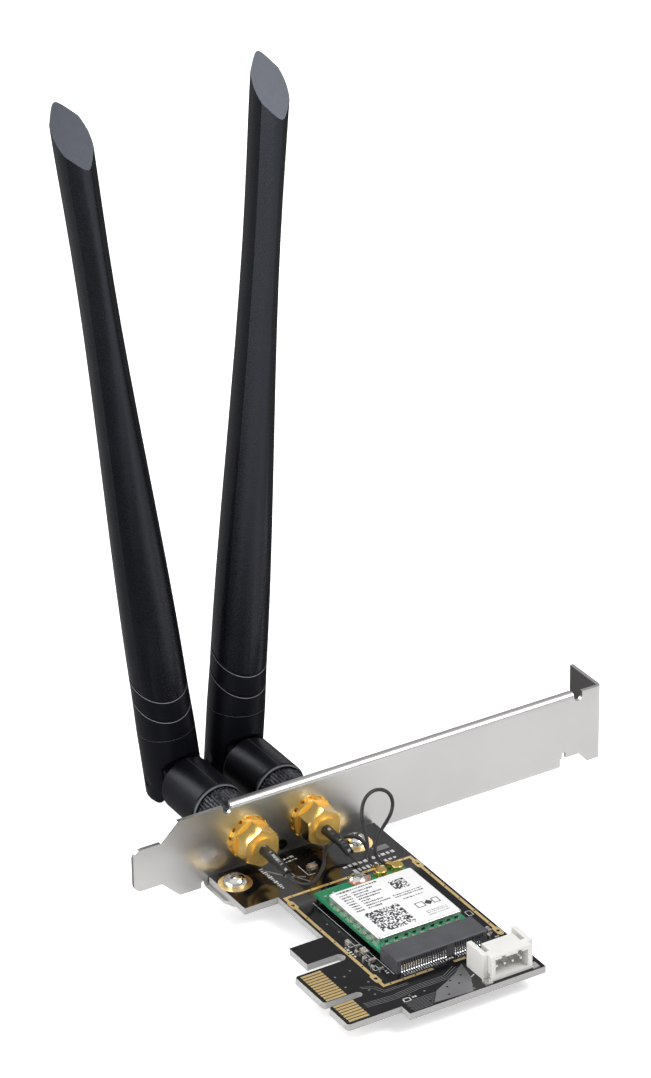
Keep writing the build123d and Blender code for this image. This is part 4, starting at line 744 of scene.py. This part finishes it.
# To glossy rays the floor's colour is a painted reflection: a ring of light and dark patches round the card, as
# of studio cards, dark near the board and mid grey near the bracket.
round_about = tree.nodes.new("ShaderNodeTexGradient")
round_about.gradient_type = "RADIAL"
tree.links.new(place(tree, move=(-0.06, -0.03, 0.0)), round_about.inputs["Vector"])
painted_reflection_levels = (
    (0.0, 0.04), (0.03, 0.3), (0.05, 0.9), (0.12, 1.0), (0.2, 0.9), (0.3, 0.75), (0.4, 0.5),
    (0.5, 0.18), (0.62, 0.04), (0.74, 0.04), (0.82, 0.22), (0.92, 0.22), (0.97, 0.04), (1.0, 0.04),
)
painted_reflection_cards = ramp(tree, round_about.outputs["Fac"], painted_reflection_levels)
off_board = farther(tree, place(tree, move=(0.04, 0.0, 0.0)), 0.04, 0.11)
outer = blend_colour(tree, off_board, (0.1, 0.1, 0.1), painted_reflection_cards)
off_bracket = farther(tree, place(tree, (0.25, 1.0, 1.0), (-0.02, -0.042, 0.0)), 0.023, 0.031)
mirrored = blend_colour(tree, off_bracket, (0.65, 0.65, 0.65), outer)
tone = blend_colour(tree, rays.outputs["Is Glossy Ray"], (0.92, 0.92, 0.92), mirrored)
tree.links.new(tone, shader.inputs["Base Color"])
tree.links.new(tone, shader.inputs["Emission Color"])
floor.data.materials.append(pale)

world = bpy.data.worlds.new("studio")
bpy.context.scene.world = world
world.use_nodes = True
tree = world.node_tree
back = tree.nodes["Background"]
back.inputs["Color"].default_value = (1.0, 1.0, 1.0, 1.0)
rays = tree.nodes.new("ShaderNodeLightPath")
facing = tree.nodes.new("ShaderNodeTexCoord")
tall = tree.nodes.new("ShaderNodeSeparateXYZ")
tree.links.new(facing.outputs["Generated"], tall.inputs["Vector"])
sky_levels = ((0.0, 1.0), (0.2, 0.9), (0.36, 0.35), (0.55, 0.35), (0.75, 0.8), (1.0, 0.8))
shown = ramp(tree, tall.outputs["Z"], sky_levels)
mirrored = larger(tree, rays.outputs["Is Glossy Ray"], rays.outputs["Is Transmission Ray"])
light = mixed(tree, mirrored, 0.5, shown)
tree.links.new(mixed(tree, rays.outputs["Is Camera Ray"], light, 1.0), back.inputs["Strength"])


def lamp(name, place_at, aim, size, watts):
    """A square soft lamp that points from its place at its aim."""
    light = bpy.data.lights.new(name, "AREA")
    light.size = size
    light.energy = watts
    obj = bpy.data.objects.new(name, light)
    bpy.context.scene.collection.objects.link(obj)
    away = np.array(place_at) - np.array(aim)
    away = away / np.linalg.norm(away)
    across = np.cross((0.0, 0.0, 1.0), away)
    across = across / np.linalg.norm(across)
    turn = np.eye(4)
    turn[:3, :3] = np.stack([across, np.cross(away, across), away], 1)
    turn[:3, 3] = place_at
    obj.matrix_world = Matrix(turn.tolist())


lamp("key_lamp", (0.46, -0.36, 0.80), (0.03, 0.05, 0.06), 0.5, 6.6)
lamp("rim_lamp", (-0.40, 0.88, 0.62), (0.03, 0.05, 0.03), 0.6, 5.8)
lamp("side_lamp", (-0.62, -0.05, 0.16), (0.02, 0.09, 0.08), 0.4, 2.4)

# Camera: a long lens, above and to the left of the board's front edge, that looks over the card at the two
# antennas standing behind the bracket.
lens = bpy.data.cameras.new("camera")
lens.sensor_fit = "HORIZONTAL"
lens.sensor_width = 36.0
lens.lens = 262.54
camera = bpy.data.objects.new("camera", lens)
bpy.context.scene.collection.objects.link(camera)
turn = np.eye(4)
turn[:3, 0] = (0.855225, -0.518064, -0.014128)
turn[:3, 1] = (0.253189, 0.393869, 0.883608)
turn[:3, 2] = (-0.452201, -0.759261, 0.468014)
turn[:3, 3] = (-0.417031, -0.703624, 0.541868)
camera.matrix_world = Matrix(turn.tolist())
bpy.context.scene.camera = camera
bpy.context.scene.view_settings.view_transform = "Standard"

bpy.context.view_layer.update()
